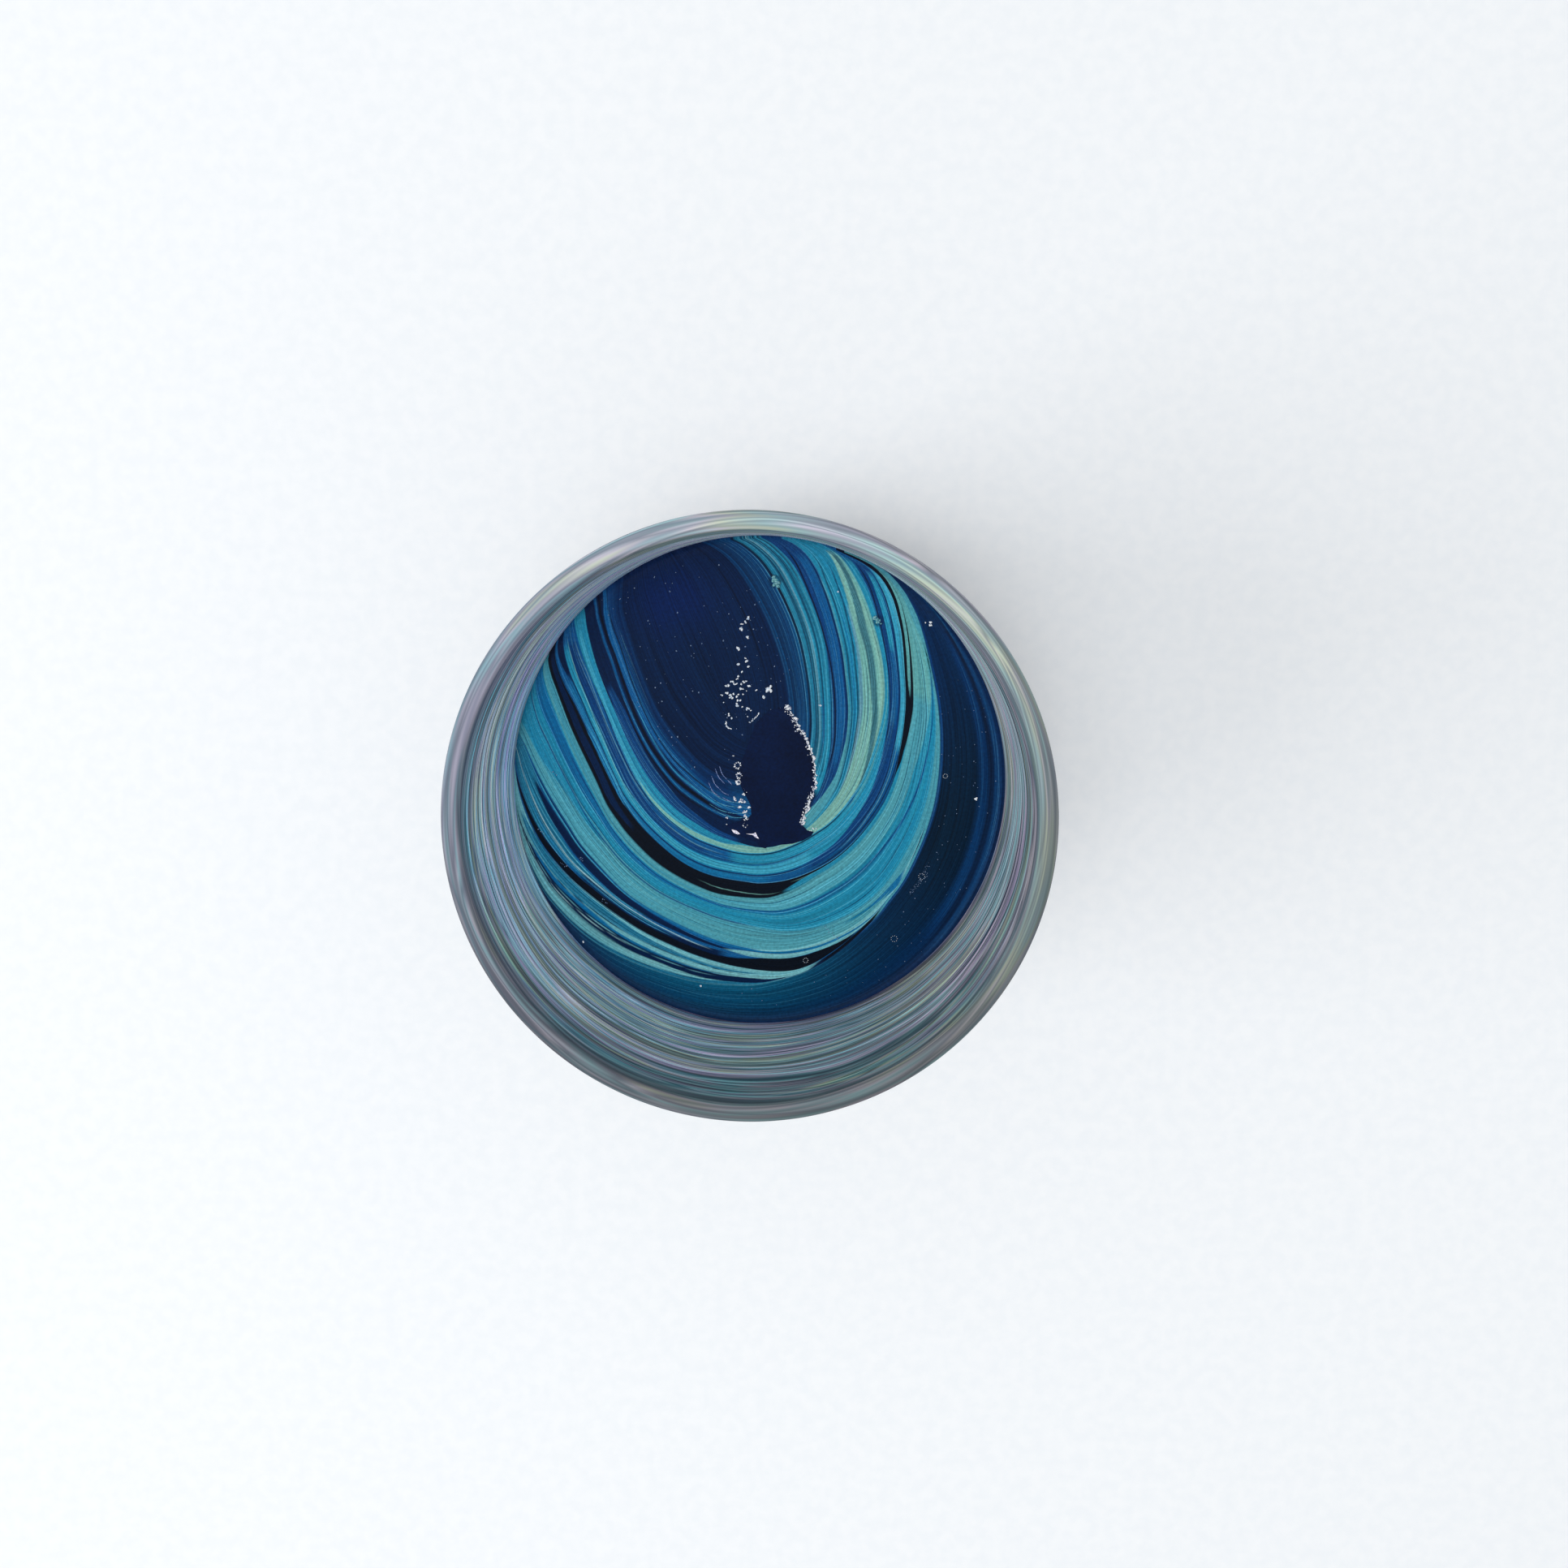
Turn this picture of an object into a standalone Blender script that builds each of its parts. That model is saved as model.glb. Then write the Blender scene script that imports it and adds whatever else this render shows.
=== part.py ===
"""An open, straight-sided glass jar of marbled paint.

The glass is one turned piece with a thick base, a shallow punt and a rounded lip. Inside it, a body of deep
blue paint carries a thin layer of separate paints: ribbons that were poured one inside the other and drawn
round into nested U shapes, a navy pool in the middle of them, and a crescent of deep blue outside them. The
pool reaches down through the innermost ribbons, whose torn skin stands up along its two edges. A film of
paint is left on the glass above the paint.

The jar stands on z = 0 with its axis on Z. +X is to the right of the swirl and +Y is towards the open end
of its U shapes.
"""

import math

import bmesh
import bpy
from mathutils import Vector

MM = 0.001

# Glass.
OUTER_RADIUS = 36.0 * MM
HEIGHT = 90.0 * MM
WALL = 2.2 * MM
BASE_THICKNESS = 7.0 * MM
INNER_RADIUS = OUTER_RADIUS - WALL
LIP_LAND = 0.8 * MM
HEEL_RADIUS = 3.0 * MM
INNER_CORNER_RADIUS = 5.0 * MM
FOOT_RING_WIDTH = 4.5 * MM
PUNT_DEPTH = 1.6 * MM
GLASS_SEGMENTS = 64

# Paint.
PAINT_LEVEL = 52.7 * MM
GAP = 0.3 * MM
LAYER_DEPTH = 1.2 * MM
LAYER_RADIUS = INNER_RADIUS - GAP
LINE_STEP = 2.6 * MM
LINE_SUBDIVISIONS = 20
WALL_STEP = math.radians(6)
TIP_CLAMP = 0.35
BLUE_LINE_SHARE = 0.42

# Film of paint left on the glass.
FILM_THICKNESS = 0.4 * MM
FILM_TOP = HEIGHT - 1.2 * MM
FILM_TOP_WAVE = 0.5 * MM

# Torn skin and lumps.
SKIN_RADIUS = 0.35 * MM
LUMP_RADIUS = 0.55 * MM

COLOURS = {
    "glass": (0.80, 0.86, 0.88),
    "film": (0.18, 0.23, 0.28),
    "deep_blue": (0.003, 0.022, 0.070),
    "navy": (0.004, 0.013, 0.050),
    "black": (0.006, 0.009, 0.016),
    "blue": (0.006, 0.090, 0.230),
    "teal": (0.050, 0.300, 0.390),
    "broad_teal": (0.070, 0.330, 0.400),
    "pale_green": (0.200, 0.420, 0.370),
    "white": (0.650, 0.700, 0.740),
}

# Flow lines of the swirl, in millimetres, each from the glass on the left, round the foot of the U and up
# to the glass at the top right. They run from the outermost to the innermost.
SWIRL_EDGE = (
    (-31.3, -11.9), (-28.2, -16.6), (-23.9, -20.8), (-17.4, -24.5), (-9.0, -27.2), (0.0, -28.1),
    (7.0, -26.2), (13.0, -21.9), (18.3, -16.3), (22.2, -9.8), (24.6, -2.0), (25.2, 6.0),
    (24.3, 13.5), (22.4, 21.0), (20.0, 25.9), (18.2, 28.1),
)
OUTER_BLACK_START = (
    (-33.4, 1.0), (-32.0, -4.0), (-28.8, -10.2), (-23.2, -15.9), (-16.0, -20.9), (-8.2, -24.3),
    (0.0, -26.0), (6.3, -24.4), (12.0, -20.6), (17.1, -15.2), (20.9, -9.1), (23.2, -1.8),
    (23.9, 6.0), (23.0, 13.2), (21.1, 20.2), (18.6, 25.4), (16.9, 28.9),
)
BROAD_TEAL_START = (
    (-32.8, 6.3), (-31.2, 1.4), (-28.5, -3.5), (-24.3, -9.6), (-19.3, -14.8), (-11.4, -19.8),
    (-4.0, -22.7), (2.0, -23.3), (8.0, -21.4), (13.0, -17.6), (17.2, -12.4), (20.2, -7.0),
    (22.0, -0.8), (22.6, 6.0), (21.9, 13.0), (20.0, 19.5), (17.3, 25.2), (15.5, 29.7),
)
BROAD_TEAL_END = (
    (-28.8, 17.0), (-28.5, 13.9), (-26.0, 7.7), (-22.4, 0.0), (-18.1, -7.7), (-12.1, -12.6),
    (-5.2, -15.7), (1.0, -16.0), (6.5, -14.2), (11.0, -10.9), (15.2, -6.9), (18.3, -2.2),
    (20.3, 4.5), (20.8, 11.0), (20.2, 16.5), (18.5, 21.5), (15.9, 26.3), (14.0, 30.4),
)
MAIN_BLACK_END = (
    (-27.6, 19.0), (-26.9, 13.8), (-24.1, 7.7), (-20.2, 0.0), (-16.5, -6.1), (-10.0, -11.5),
    (-4.0, -13.6), (1.0, -14.2), (5.6, -12.6), (10.0, -9.4), (13.9, -5.8), (17.0, -1.4),
    (18.9, 4.5), (19.4, 11.0), (18.7, 16.3), (17.0, 21.2), (14.4, 25.9), (12.4, 31.1),
)
PALE_GREEN_START = (
    (-25.1, 22.2), (-24.7, 19.4), (-22.9, 14.3), (-20.4, 8.4), (-17.2, 1.6), (-14.4, -3.1),
    (-9.1, -7.9), (-3.1, -10.1), (1.5, -10.5), (6.2, -8.9), (10.2, -5.8), (13.6, -1.4),
    (16.0, 3.6), (17.0, 9.5), (16.6, 15.2), (14.9, 20.9), (12.1, 26.2), (9.0, 32.2),
)
PALE_GREEN_END = (
    (-23.2, 24.1), (-22.8, 20.6), (-21.0, 15.2), (-18.5, 9.0), (-15.3, 2.6), (-12.4, -1.6),
    (-7.8, -6.1), (-2.8, -8.7), (1.5, -9.3), (5.8, -7.8), (8.9, -4.9), (11.2, -0.8),
    (12.8, 4.6), (13.3, 10.0), (12.7, 15.6), (11.0, 21.3), (8.3, 26.5), (4.8, 33.1),
)
# The innermost lines stop at the torn edges, so each side has its own.
LEFT_BLUE_END = (
    (-21.2, 25.9), (-20.9, 22.6), (-19.5, 17.6), (-17.1, 11.5), (-14.0, 5.4), (-10.2, 0.6),
    (-6.6, -2.6), (-2.0, -4.2),
)
LEFT_FRINGE_END = (
    (-19.0, 27.6), (-18.7, 22.6), (-17.2, 17.4), (-15.0, 11.7), (-12.2, 6.7), (-8.8, 2.6),
    (-5.6, 0.9), (-2.9, 1.2),
)
RIGHT_TEAL_END = (
    (1.2, 33.4), (4.6, 27.8), (7.2, 22.0), (8.8, 16.4), (9.7, 10.6), (9.7, 5.0), (8.9, 0.4), (7.0, -3.6),
)
RIGHT_FRINGE_END = (
    (-4.6, 33.1), (-1.0, 28.0), (1.8, 22.4), (3.7, 16.6), (4.6, 12.4), (4.9, 9.4),
)
# The torn edges, downwards on the left and upwards on the right.
TORN_LEFT_EDGE = (
    (-2.9, 1.2), (-2.3, -1.0), (-1.7, -3.0), (-1.9, -5.2), (-1.5, -7.0), (0.0, -8.3), (1.0, -9.2),
)
TORN_RIGHT_EDGE = (
    (7.6, -6.3), (6.3, -5.4), (7.0, -3.6), (7.7, -1.0), (7.9, 1.4), (7.3, 4.2), (6.2, 6.9), (4.9, 9.4),
)
LUMP_PLACES = {"left_pigment_lump": (2.2, 27.4), "right_pigment_lump": (16.1, 22.1)}


def clear_scene():
    for existing in list(bpy.data.objects):
        bpy.data.objects.remove(existing, do_unlink=True)


def material(name, colour, roughness, transmission=0.0):
    made = bpy.data.materials.new(name)
    made.use_nodes = True
    shader = made.node_tree.nodes["Principled BSDF"]
    shader.inputs["Base Color"].default_value = (*colour, 1.0)
    shader.inputs["Roughness"].default_value = roughness
    shader.inputs["Metallic"].default_value = 0.0
    shader.inputs["Transmission Weight"].default_value = transmission
    made.diffuse_color = (*colour, 1.0)
    return made


def paint(name):
    return material(name + "_paint", COLOURS[name], 0.25)


def add_object(name, data, collection, finish):
    made = bpy.data.objects.new(name, data)
    made.data.materials.append(finish)
    collection.objects.link(made)
    return made


def arc(centre_x, centre_z, radius, start, end, count):
    """Points of a profile's arc, its angles in degrees from +X towards +Z."""
    angles = [math.radians(start + (end - start) * i / (count - 1)) for i in range(count)]
    return [(centre_x + radius * math.cos(a), centre_z + radius * math.sin(a)) for a in angles]


def turned(name, profile, segments, collection, finish):
    """A solid of revolution about Z from a profile that runs down its outer side."""
    mesh = bpy.data.meshes.new(name)
    edges = [(i, i + 1) for i in range(len(profile) - 1)]
    mesh.from_pydata([(x, 0.0, z) for x, z in profile], edges, [])
    made = add_object(name, mesh, collection, finish)
    screw = made.modifiers.new("turn", "SCREW")
    screw.axis = "Z"
    screw.angle = math.tau
    screw.steps = segments
    screw.render_steps = segments
    screw.use_merge_vertices = True
    screw.merge_threshold = 0.00001
    screw.use_smooth_shade = True
    return made


def glass_profile():
    """From the middle of the floor, up the inside, over the lip, down the outside and under the base."""
    lip_radius = (WALL - LIP_LAND) / 2
    lip_height = HEIGHT - lip_radius
    foot_inner = OUTER_RADIUS - HEEL_RADIUS - FOOT_RING_WIDTH
    corner = INNER_CORNER_RADIUS
    inside_corner = arc(INNER_RADIUS - corner, BASE_THICKNESS + corner, corner, -90, 0, 6)
    inner_lip = arc(INNER_RADIUS + lip_radius, lip_height, lip_radius, 180, 90, 4)
    outer_lip = arc(OUTER_RADIUS - lip_radius, lip_height, lip_radius, 90, 0, 4)
    heel = arc(OUTER_RADIUS - HEEL_RADIUS, HEEL_RADIUS, HEEL_RADIUS, 0, -90, 6)
    punt = [
        (foot_inner, 0.0),
        (foot_inner - 1.5 * MM, 0.6 * PUNT_DEPTH),
        (foot_inner * 0.6, PUNT_DEPTH),
        (0.0, PUNT_DEPTH),
    ]
    return [(0.0, BASE_THICKNESS), *inside_corner, *inner_lip, *outer_lip, *heel, *punt]


def body_profile():
    """The paint under the coloured layer, clear of the glass all round."""
    corner = INNER_CORNER_RADIUS - GAP
    top = PAINT_LEVEL - LAYER_DEPTH - GAP
    floor = BASE_THICKNESS + GAP
    lower = arc(LAYER_RADIUS - corner, floor + corner, corner, 0, -90, 6)
    return [(0.0, top), (LAYER_RADIUS, top), *lower, (0.0, floor)]


def wall_film(collection, finish):
    """An open sleeve with a slightly wavy top edge, thickened inwards."""
    mesh = bpy.data.meshes.new("wall_paint_film")
    bottom = PAINT_LEVEL + GAP
    shell = bmesh.new()
    bmesh.ops.create_cone(
        shell,
        cap_ends=False,
        segments=GLASS_SEGMENTS,
        radius1=LAYER_RADIUS,
        radius2=LAYER_RADIUS,
        depth=FILM_TOP - bottom,
    )
    for vertex in shell.verts:
        above_middle = vertex.co.z > 0.0
        vertex.co.z += (FILM_TOP + bottom) / 2
        if above_middle:
            turn = math.atan2(vertex.co.y, vertex.co.x)
            vertex.co.z += FILM_TOP_WAVE * (2 * math.sin(3 * turn) + math.sin(7 * turn + 1.0)) / 3
    bmesh.ops.recalc_face_normals(shell, faces=shell.faces)
    shell.to_mesh(mesh)
    shell.free()
    mesh.shade_smooth()
    made = add_object("wall_paint_film", mesh, collection, finish)
    thick = made.modifiers.new("thickness", "SOLIDIFY")
    thick.thickness = FILM_THICKNESS
    thick.offset = -1.0
    return made


def smooth_line(points):
    """Points about LINE_STEP apart along the smooth curve through points given in millimetres."""
    own = [Vector(p) * MM for p in points]
    ends = [2 * own[0] - own[1], *own, 2 * own[-1] - own[-2]]
    fine = []
    for before, start, end, after in zip(ends, ends[1:], ends[2:], ends[3:]):
        bend = 2 * before - 5 * start + 4 * end - after
        twist = 3 * start - before - 3 * end + after
        for i in range(LINE_SUBDIVISIONS):
            t = i / LINE_SUBDIVISIONS
            fine.append((2 * start + (end - before) * t + bend * t**2 + twist * t**3) / 2)
    fine.append(own[-1])
    reached = [0.0]
    for start, end in zip(fine, fine[1:]):
        reached.append(reached[-1] + (end - start).length)
    pieces = max(2, round(reached[-1] / LINE_STEP))
    even = []
    at = 0
    for i in range(pieces + 1):
        wanted = reached[-1] * i / pieces
        while at < len(fine) - 2 and reached[at + 1] < wanted:
            at += 1
        share = (wanted - reached[at]) / (reached[at + 1] - reached[at])
        even.append(fine[at].lerp(fine[at + 1], share))
    return even


def onto_glass(point):
    """The point moved along its radius to the edge of the coloured layer."""
    return point.normalized() * LAYER_RADIUS


def between(outer, inner, share):
    """A line that lies a share of the way from one flow line to the next one in."""
    count = len(outer)
    made = []
    for i, point in enumerate(outer):
        other = inner[round(i * (len(inner) - 1) / (count - 1))]
        made.append(point.lerp(other, share))
    made[0] = onto_glass(made[0])
    made[-1] = onto_glass(made[-1])
    return made


def nearest(line, point):
    return min(range(len(line)), key=lambda i: (line[i] - point).length)


def glass_arc(start, end, clockwise):
    """The points of the layer's rim between two of its points, without those two."""
    first = math.atan2(start.y, start.x)
    last = math.atan2(end.y, end.x)
    turn = (first - last) % math.tau if clockwise else -((last - first) % math.tau)
    count = max(1, math.ceil(abs(turn) / WALL_STEP))
    angles = [first - turn * i / count for i in range(1, count)]
    return [Vector((math.cos(a), math.sin(a))) * LAYER_RADIUS for a in angles]


def inset(outline, distance):
    """The outline moved inwards and run clockwise, its sharp tips blunted rather than stretched."""
    area = sum(a.x * b.y - b.x * a.y for a, b in zip(outline, outline[1:] + outline[:1]))
    ordered = outline if area < 0 else outline[::-1]
    moved = []
    for before, here, after in zip(ordered[-1:] + ordered[:-1], ordered, ordered[1:] + ordered[:1]):
        arriving = (here - before).normalized()
        leaving = (after - here).normalized()
        inward_a = Vector((arriving.y, -arriving.x))
        inward_b = Vector((leaving.y, -leaving.x))
        middle = (inward_a + inward_b).normalized()
        reach = distance / max(middle.dot(inward_a), TIP_CLAMP)
        moved.append(here + middle * reach)
    return moved


def layer_piece(name, outline, collection, finish):
    """A flat piece of the coloured layer, its top at the paint's level."""
    curve = bpy.data.curves.new(name, "CURVE")
    curve.dimensions = "2D"
    curve.fill_mode = "BOTH"
    curve.extrude = LAYER_DEPTH / 2
    points = inset(outline, GAP / 2)
    spline = curve.splines.new("POLY")
    spline.points.add(len(points) - 1)
    for target, point in zip(spline.points, points):
        target.co = (point.x, point.y, 0.0, 1.0)
    spline.use_cyclic_u = True
    made = add_object(name, curve, collection, finish)
    made.location.z = PAINT_LEVEL - LAYER_DEPTH / 2
    return made


def ribbon(outer, inner):
    """The outline between two flow lines that both run from glass to glass."""
    return [
        *outer,
        *glass_arc(outer[-1], inner[-1], clockwise=False),
        *reversed(inner),
        *glass_arc(inner[0], outer[0], clockwise=False),
    ]


def torn_skin(name, edge, collection, finish):
    """A beaded ridge of lifted skin that lies along a torn edge."""
    curve = bpy.data.curves.new(name, "CURVE")
    curve.dimensions = "3D"
    curve.bevel_depth = SKIN_RADIUS
    curve.bevel_resolution = 2
    curve.use_fill_caps = True
    spline = curve.splines.new("POLY")
    spline.points.add(len(edge) - 1)
    for i, (target, point) in enumerate(zip(spline.points, edge)):
        target.co = (point.x, point.y, 0.0, 1.0)
        target.radius = 1.0 if i % 2 else 0.65
    made = add_object(name, curve, collection, finish)
    made.location.z = PAINT_LEVEL + GAP + SKIN_RADIUS
    return made


def pigment_lump(name, place, collection, finish):
    """An undissolved lump of pigment, low and round, lying on the paint."""
    mesh = bpy.data.meshes.new(name)
    ball = bmesh.new()
    bmesh.ops.create_uvsphere(ball, u_segments=10, v_segments=6, radius=LUMP_RADIUS)
    bmesh.ops.scale(ball, vec=(1.0, 1.3, 0.6), verts=ball.verts)
    ball.to_mesh(mesh)
    ball.free()
    mesh.shade_smooth()
    made = add_object(name, mesh, collection, finish)
    made.location = (place[0] * MM, place[1] * MM, PAINT_LEVEL + GAP + 0.6 * LUMP_RADIUS)
    return made


def build_glass(collection):
    glass = material("clear_glass", COLOURS["glass"], 0.03, 1.0)
    turned("glass_jar", glass_profile(), GLASS_SEGMENTS, collection, glass)
    turned("deep_paint_body", body_profile(), GLASS_SEGMENTS, collection, paint("deep_blue"))
    wall_film(collection, material("thin_paint_film", COLOURS["film"], 0.3))


def build_swirl(collection):
    """The crescent, the ribbons from glass to glass, and the pieces round the torn edges."""
    whole = [
        smooth_line(points)
        for points in (
            SWIRL_EDGE,
            OUTER_BLACK_START,
            BROAD_TEAL_START,
            BROAD_TEAL_END,
            MAIN_BLACK_END,
            PALE_GREEN_START,
            PALE_GREEN_END,
        )
    ]
    for line in whole:
        line[0] = onto_glass(line[0])
        line[-1] = onto_glass(line[-1])
    whole.insert(5, between(whole[4], whole[5], BLUE_LINE_SHARE))
    edge = whole[0]
    crescent = [*edge, *glass_arc(edge[-1], edge[0], clockwise=True)]
    layer_piece("deep_blue_crescent", crescent, collection, paint("deep_blue"))
    ribbons = (
        ("outer_teal_ribbon", "teal"),
        ("outer_black_ribbon", "black"),
        ("broad_teal_ribbon", "broad_teal"),
        ("main_black_ribbon", "black"),
        ("blue_line_ribbon", "blue"),
        ("middle_teal_ribbon", "teal"),
        ("pale_green_ribbon", "pale_green"),
    )
    for (name, colour), outer, inner in zip(ribbons, whole, whole[1:]):
        layer_piece(name, ribbon(outer, inner), collection, paint(colour))
    build_torn_region(whole[-1], collection)


def build_torn_region(outer, collection):
    """The ribbons that stop at the torn edges, the pool between them and the skin along them."""
    torn_left = smooth_line(TORN_LEFT_EDGE)
    torn_right = smooth_line(TORN_RIGHT_EDGE)
    left_foot = nearest(outer, torn_left[-1])
    right_foot = nearest(outer, torn_right[0])
    torn_left[-1] = outer[left_foot]
    torn_right[0] = outer[right_foot]
    left_blue = smooth_line(LEFT_BLUE_END)
    left_fringe = smooth_line(LEFT_FRINGE_END)
    right_teal = smooth_line(RIGHT_TEAL_END)
    right_fringe = smooth_line(RIGHT_FRINGE_END)
    for line in (left_blue, left_fringe, right_teal, right_fringe):
        line[0] = onto_glass(line[0])
    left_split = nearest(torn_left, left_blue[-1])
    right_split = nearest(torn_right, right_teal[-1])
    left_blue[-1] = torn_left[left_split]
    left_fringe[-1] = torn_left[0]
    right_teal[-1] = torn_right[right_split]
    right_fringe[-1] = torn_right[-1]
    outlines = {
        "left_blue_ribbon": [
            *outer[: left_foot + 1],
            *reversed(torn_left[left_split:-1]),
            *reversed(left_blue[:-1]),
            *glass_arc(left_blue[0], outer[0], clockwise=False),
        ],
        "left_fringe_ribbon": [
            *left_blue,
            *reversed(torn_left[:left_split]),
            *reversed(left_fringe[:-1]),
            *glass_arc(left_fringe[0], left_blue[0], clockwise=False),
        ],
        "right_teal_ribbon": [
            *outer[right_foot:],
            *glass_arc(outer[-1], right_teal[0], clockwise=False),
            *right_teal,
            *reversed(torn_right[1:right_split]),
        ],
        "right_fringe_ribbon": [
            *reversed(right_teal),
            *glass_arc(right_teal[0], right_fringe[0], clockwise=False),
            *right_fringe,
            *reversed(torn_right[right_split + 1 : -1]),
        ],
        "navy_pool": [
            *left_fringe,
            *torn_left[1:],
            *outer[left_foot + 1 : right_foot],
            *torn_right[:-1],
            *reversed(right_fringe),
            *glass_arc(right_fringe[0], left_fringe[0], clockwise=False),
        ],
    }
    finishes = {
        "left_blue_ribbon": "blue",
        "left_fringe_ribbon": "blue",
        "right_teal_ribbon": "teal",
        "right_fringe_ribbon": "blue",
        "navy_pool": "navy",
    }
    for name, outline in outlines.items():
        layer_piece(name, outline, collection, paint(finishes[name]))
    skin = material("dried_skin", COLOURS["white"], 0.5)
    torn_skin("left_torn_skin", torn_left[:-1], collection, skin)
    torn_skin("right_torn_skin", torn_right[1:], collection, skin)


def main():
    clear_scene()
    collection = bpy.data.collections.new("paint_jar")
    bpy.context.scene.collection.children.link(collection)
    build_glass(collection)
    build_swirl(collection)
    for name, place in LUMP_PLACES.items():
        pigment_lump(name, place, collection, paint("teal"))


main()
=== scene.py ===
"""The looks of the paint jar: a clear glass jar, a marbled paint surface part of the way down it, and the
streaked film that the paint left on the glass above.

Every length is in metres unless a name ends in _MM. The jar stands on z = 0 with its axis on Z.
"""

import math
import random

import bmesh
import bpy
import numpy as np
from mathutils import Matrix, Vector


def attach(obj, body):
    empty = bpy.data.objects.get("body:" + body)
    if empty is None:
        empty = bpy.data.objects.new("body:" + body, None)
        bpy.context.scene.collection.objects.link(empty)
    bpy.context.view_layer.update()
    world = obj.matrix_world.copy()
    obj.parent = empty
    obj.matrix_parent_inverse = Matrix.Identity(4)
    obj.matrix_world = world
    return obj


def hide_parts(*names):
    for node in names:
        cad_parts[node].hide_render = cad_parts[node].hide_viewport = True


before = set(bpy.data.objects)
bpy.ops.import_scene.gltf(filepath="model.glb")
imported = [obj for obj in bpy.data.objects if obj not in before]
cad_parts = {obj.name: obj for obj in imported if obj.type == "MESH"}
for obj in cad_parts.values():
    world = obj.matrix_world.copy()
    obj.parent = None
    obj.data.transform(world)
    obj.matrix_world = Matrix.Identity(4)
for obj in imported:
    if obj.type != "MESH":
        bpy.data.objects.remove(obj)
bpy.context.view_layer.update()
random.seed(11)

MM = 0.001

# Glass, as the CAD has it.
OUTER_RADIUS = 36.0 * MM
INNER_RADIUS = 33.8 * MM
HEIGHT = 90.0 * MM
BASE_THICKNESS = 7.0 * MM
LIP_LAND = 0.8 * MM
LIP_RADIUS = (OUTER_RADIUS - INNER_RADIUS - LIP_LAND) / 2
HEEL_RADIUS = 3.0 * MM
INNER_CORNER_RADIUS = 5.0 * MM
FOOT_RING_WIDTH = 4.5 * MM
PUNT_DEPTH = 1.6 * MM
PUNT_SLOPE_WIDTH = 1.5 * MM
PUNT_SLOPE_SHARE = 0.6
PUNT_FLAT_SHARE = 0.6

# How finely the turned shapes are drawn.
TURNS = 192
WALL_STEPS = 12
CORNER_STEPS = 10
LIP_STEPS = 8
BODY_STEPS = 30
FILM_STEPS = 60

# Paint and its film. Both reach a little way into the glass, so that no air shows between them.
PAINT_LEVEL = 52.7 * MM
INTO_GLASS = 0.05 * MM
MENISCUS_RISE = 0.5 * MM
MENISCUS_REACH = 0.45 * MM
FILM_THICKNESS = 0.3 * MM
FILM_OUTSIDE_SHADE = 0.85
FILM_BELOW_LEVEL = 0.3 * MM
FILM_INTO_GLASS = 0.02 * MM
FILM_THINS_OVER = 2.0 * MM
COAT_THICKNESS = 0.06 * MM
COAT_ENDS_AT = 8
PAINT_ALBEDO = 1.02
PAINT_ROUGHNESS = 0.25
PAINT_GLOSS = 0.012
GRAIN_SCALE = 2600.0

# The underside of the paint's surface: how far the paint body stays below it at the glass and in the middle.
BODY_EDGE_GAP = 0.2 * MM
BODY_DISH_DEPTH = 1.0 * MM
BODY_DISH_MARGIN = 3.0 * MM

# What lies on the surface: how far it stands above the paint, and how thick it is.
POOL_RAISED = 0.10 * MM
POOL_THICKNESS = 0.25 * MM
FLAP_RAISED = 0.22 * MM
FLAP_THICKNESS = 0.20 * MM
THREAD_RAISED = 0.02 * MM
SMEAR_WIDTH_MM = 0.14
THREAD_WIDTH_MM = 0.12

# The film's tint, with light and shade painted into it. Each side is an angle from +X in degrees, and each
# place is in millimetres up the film from its lower edge. A band or line is (its middle, its width). The wall
# is painted lighter, most on the first side. The second side gets a painted reflection in a band low on the
# wall. The lip is painted darker and lighter towards its own side. The damp band just above the paint gets
# painted shade, strongest on its own side.
PAINTED_LIGHT_SIDE = 165
PAINTED_REFLECTION_SIDE = 98
LIP_LIT_SIDE = 86
NEAR_SIDE = 215
WET_SHADE_SIDE = 290
WET_SHADE_REACH = 1.6
PAINTED_REFLECTION_BAND = (8.0, 5.0)
DARK_LINE = (32.4, 0.7)
BRIGHT_LINE = (34.2, 0.8)
LIP_FROM = 22.0
LIP_OVER = 16.0

# The crescent outside the swirl: the middle and width of its two tints, in degrees from +X.
CRESCENT_FOOT = (-98, 34)
CRESCENT_SIDE = (-12, 48)
FOOT_COLOUR = (14, 98, 128)

# Touches over the surface, in millimetres. Only the place where the fringe starts to fade is a line number.
FRINGE_FADES_FROM = 9.25
GLOW_MIDDLE = (-11.5, 25.0)
GLOW_SIZE = (5.5, 4.5)
GLOW_COLOUR = (5, 32, 86)
DARK_ENOUGH = 0.11
# A painted shadow ring round each lump: its width and its colour.
LUMP_SHADOW_WIDTH = 0.22
LUMP_SHADOW_COLOUR = (5, 34, 62)
EDGE_SHADE_REACH = 0.7
EDGE_SHADE_COLOUR = (34, 34, 54)

# The colours that the eye sees, in sRGB.
PALETTE = {
    "black": (8, 16, 28),
    "navy": (5, 31, 65),
    "night": (3, 27, 44),
    "deep_blue": (6, 44, 84),
    "dark_blue": (8, 62, 116),
    "mid_blue": (12, 86, 140),
    "blue": (16, 108, 156),
    "deep_teal": (14, 112, 142),
    "teal": (30, 112, 142),
    "bright_teal": (34, 138, 168),
    "sea_teal": (80, 156, 168),
    "sky_teal": (60, 158, 184),
    "pale_teal": (122, 184, 188),
    "white_teal": (168, 204, 206),
    "green_teal": (98, 164, 162),
    "pale_green": (130, 182, 168),
    "grey_green": (62, 112, 120),
    "slate_teal": (106, 152, 166),
    "mauve": (140, 130, 140),
}

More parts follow.
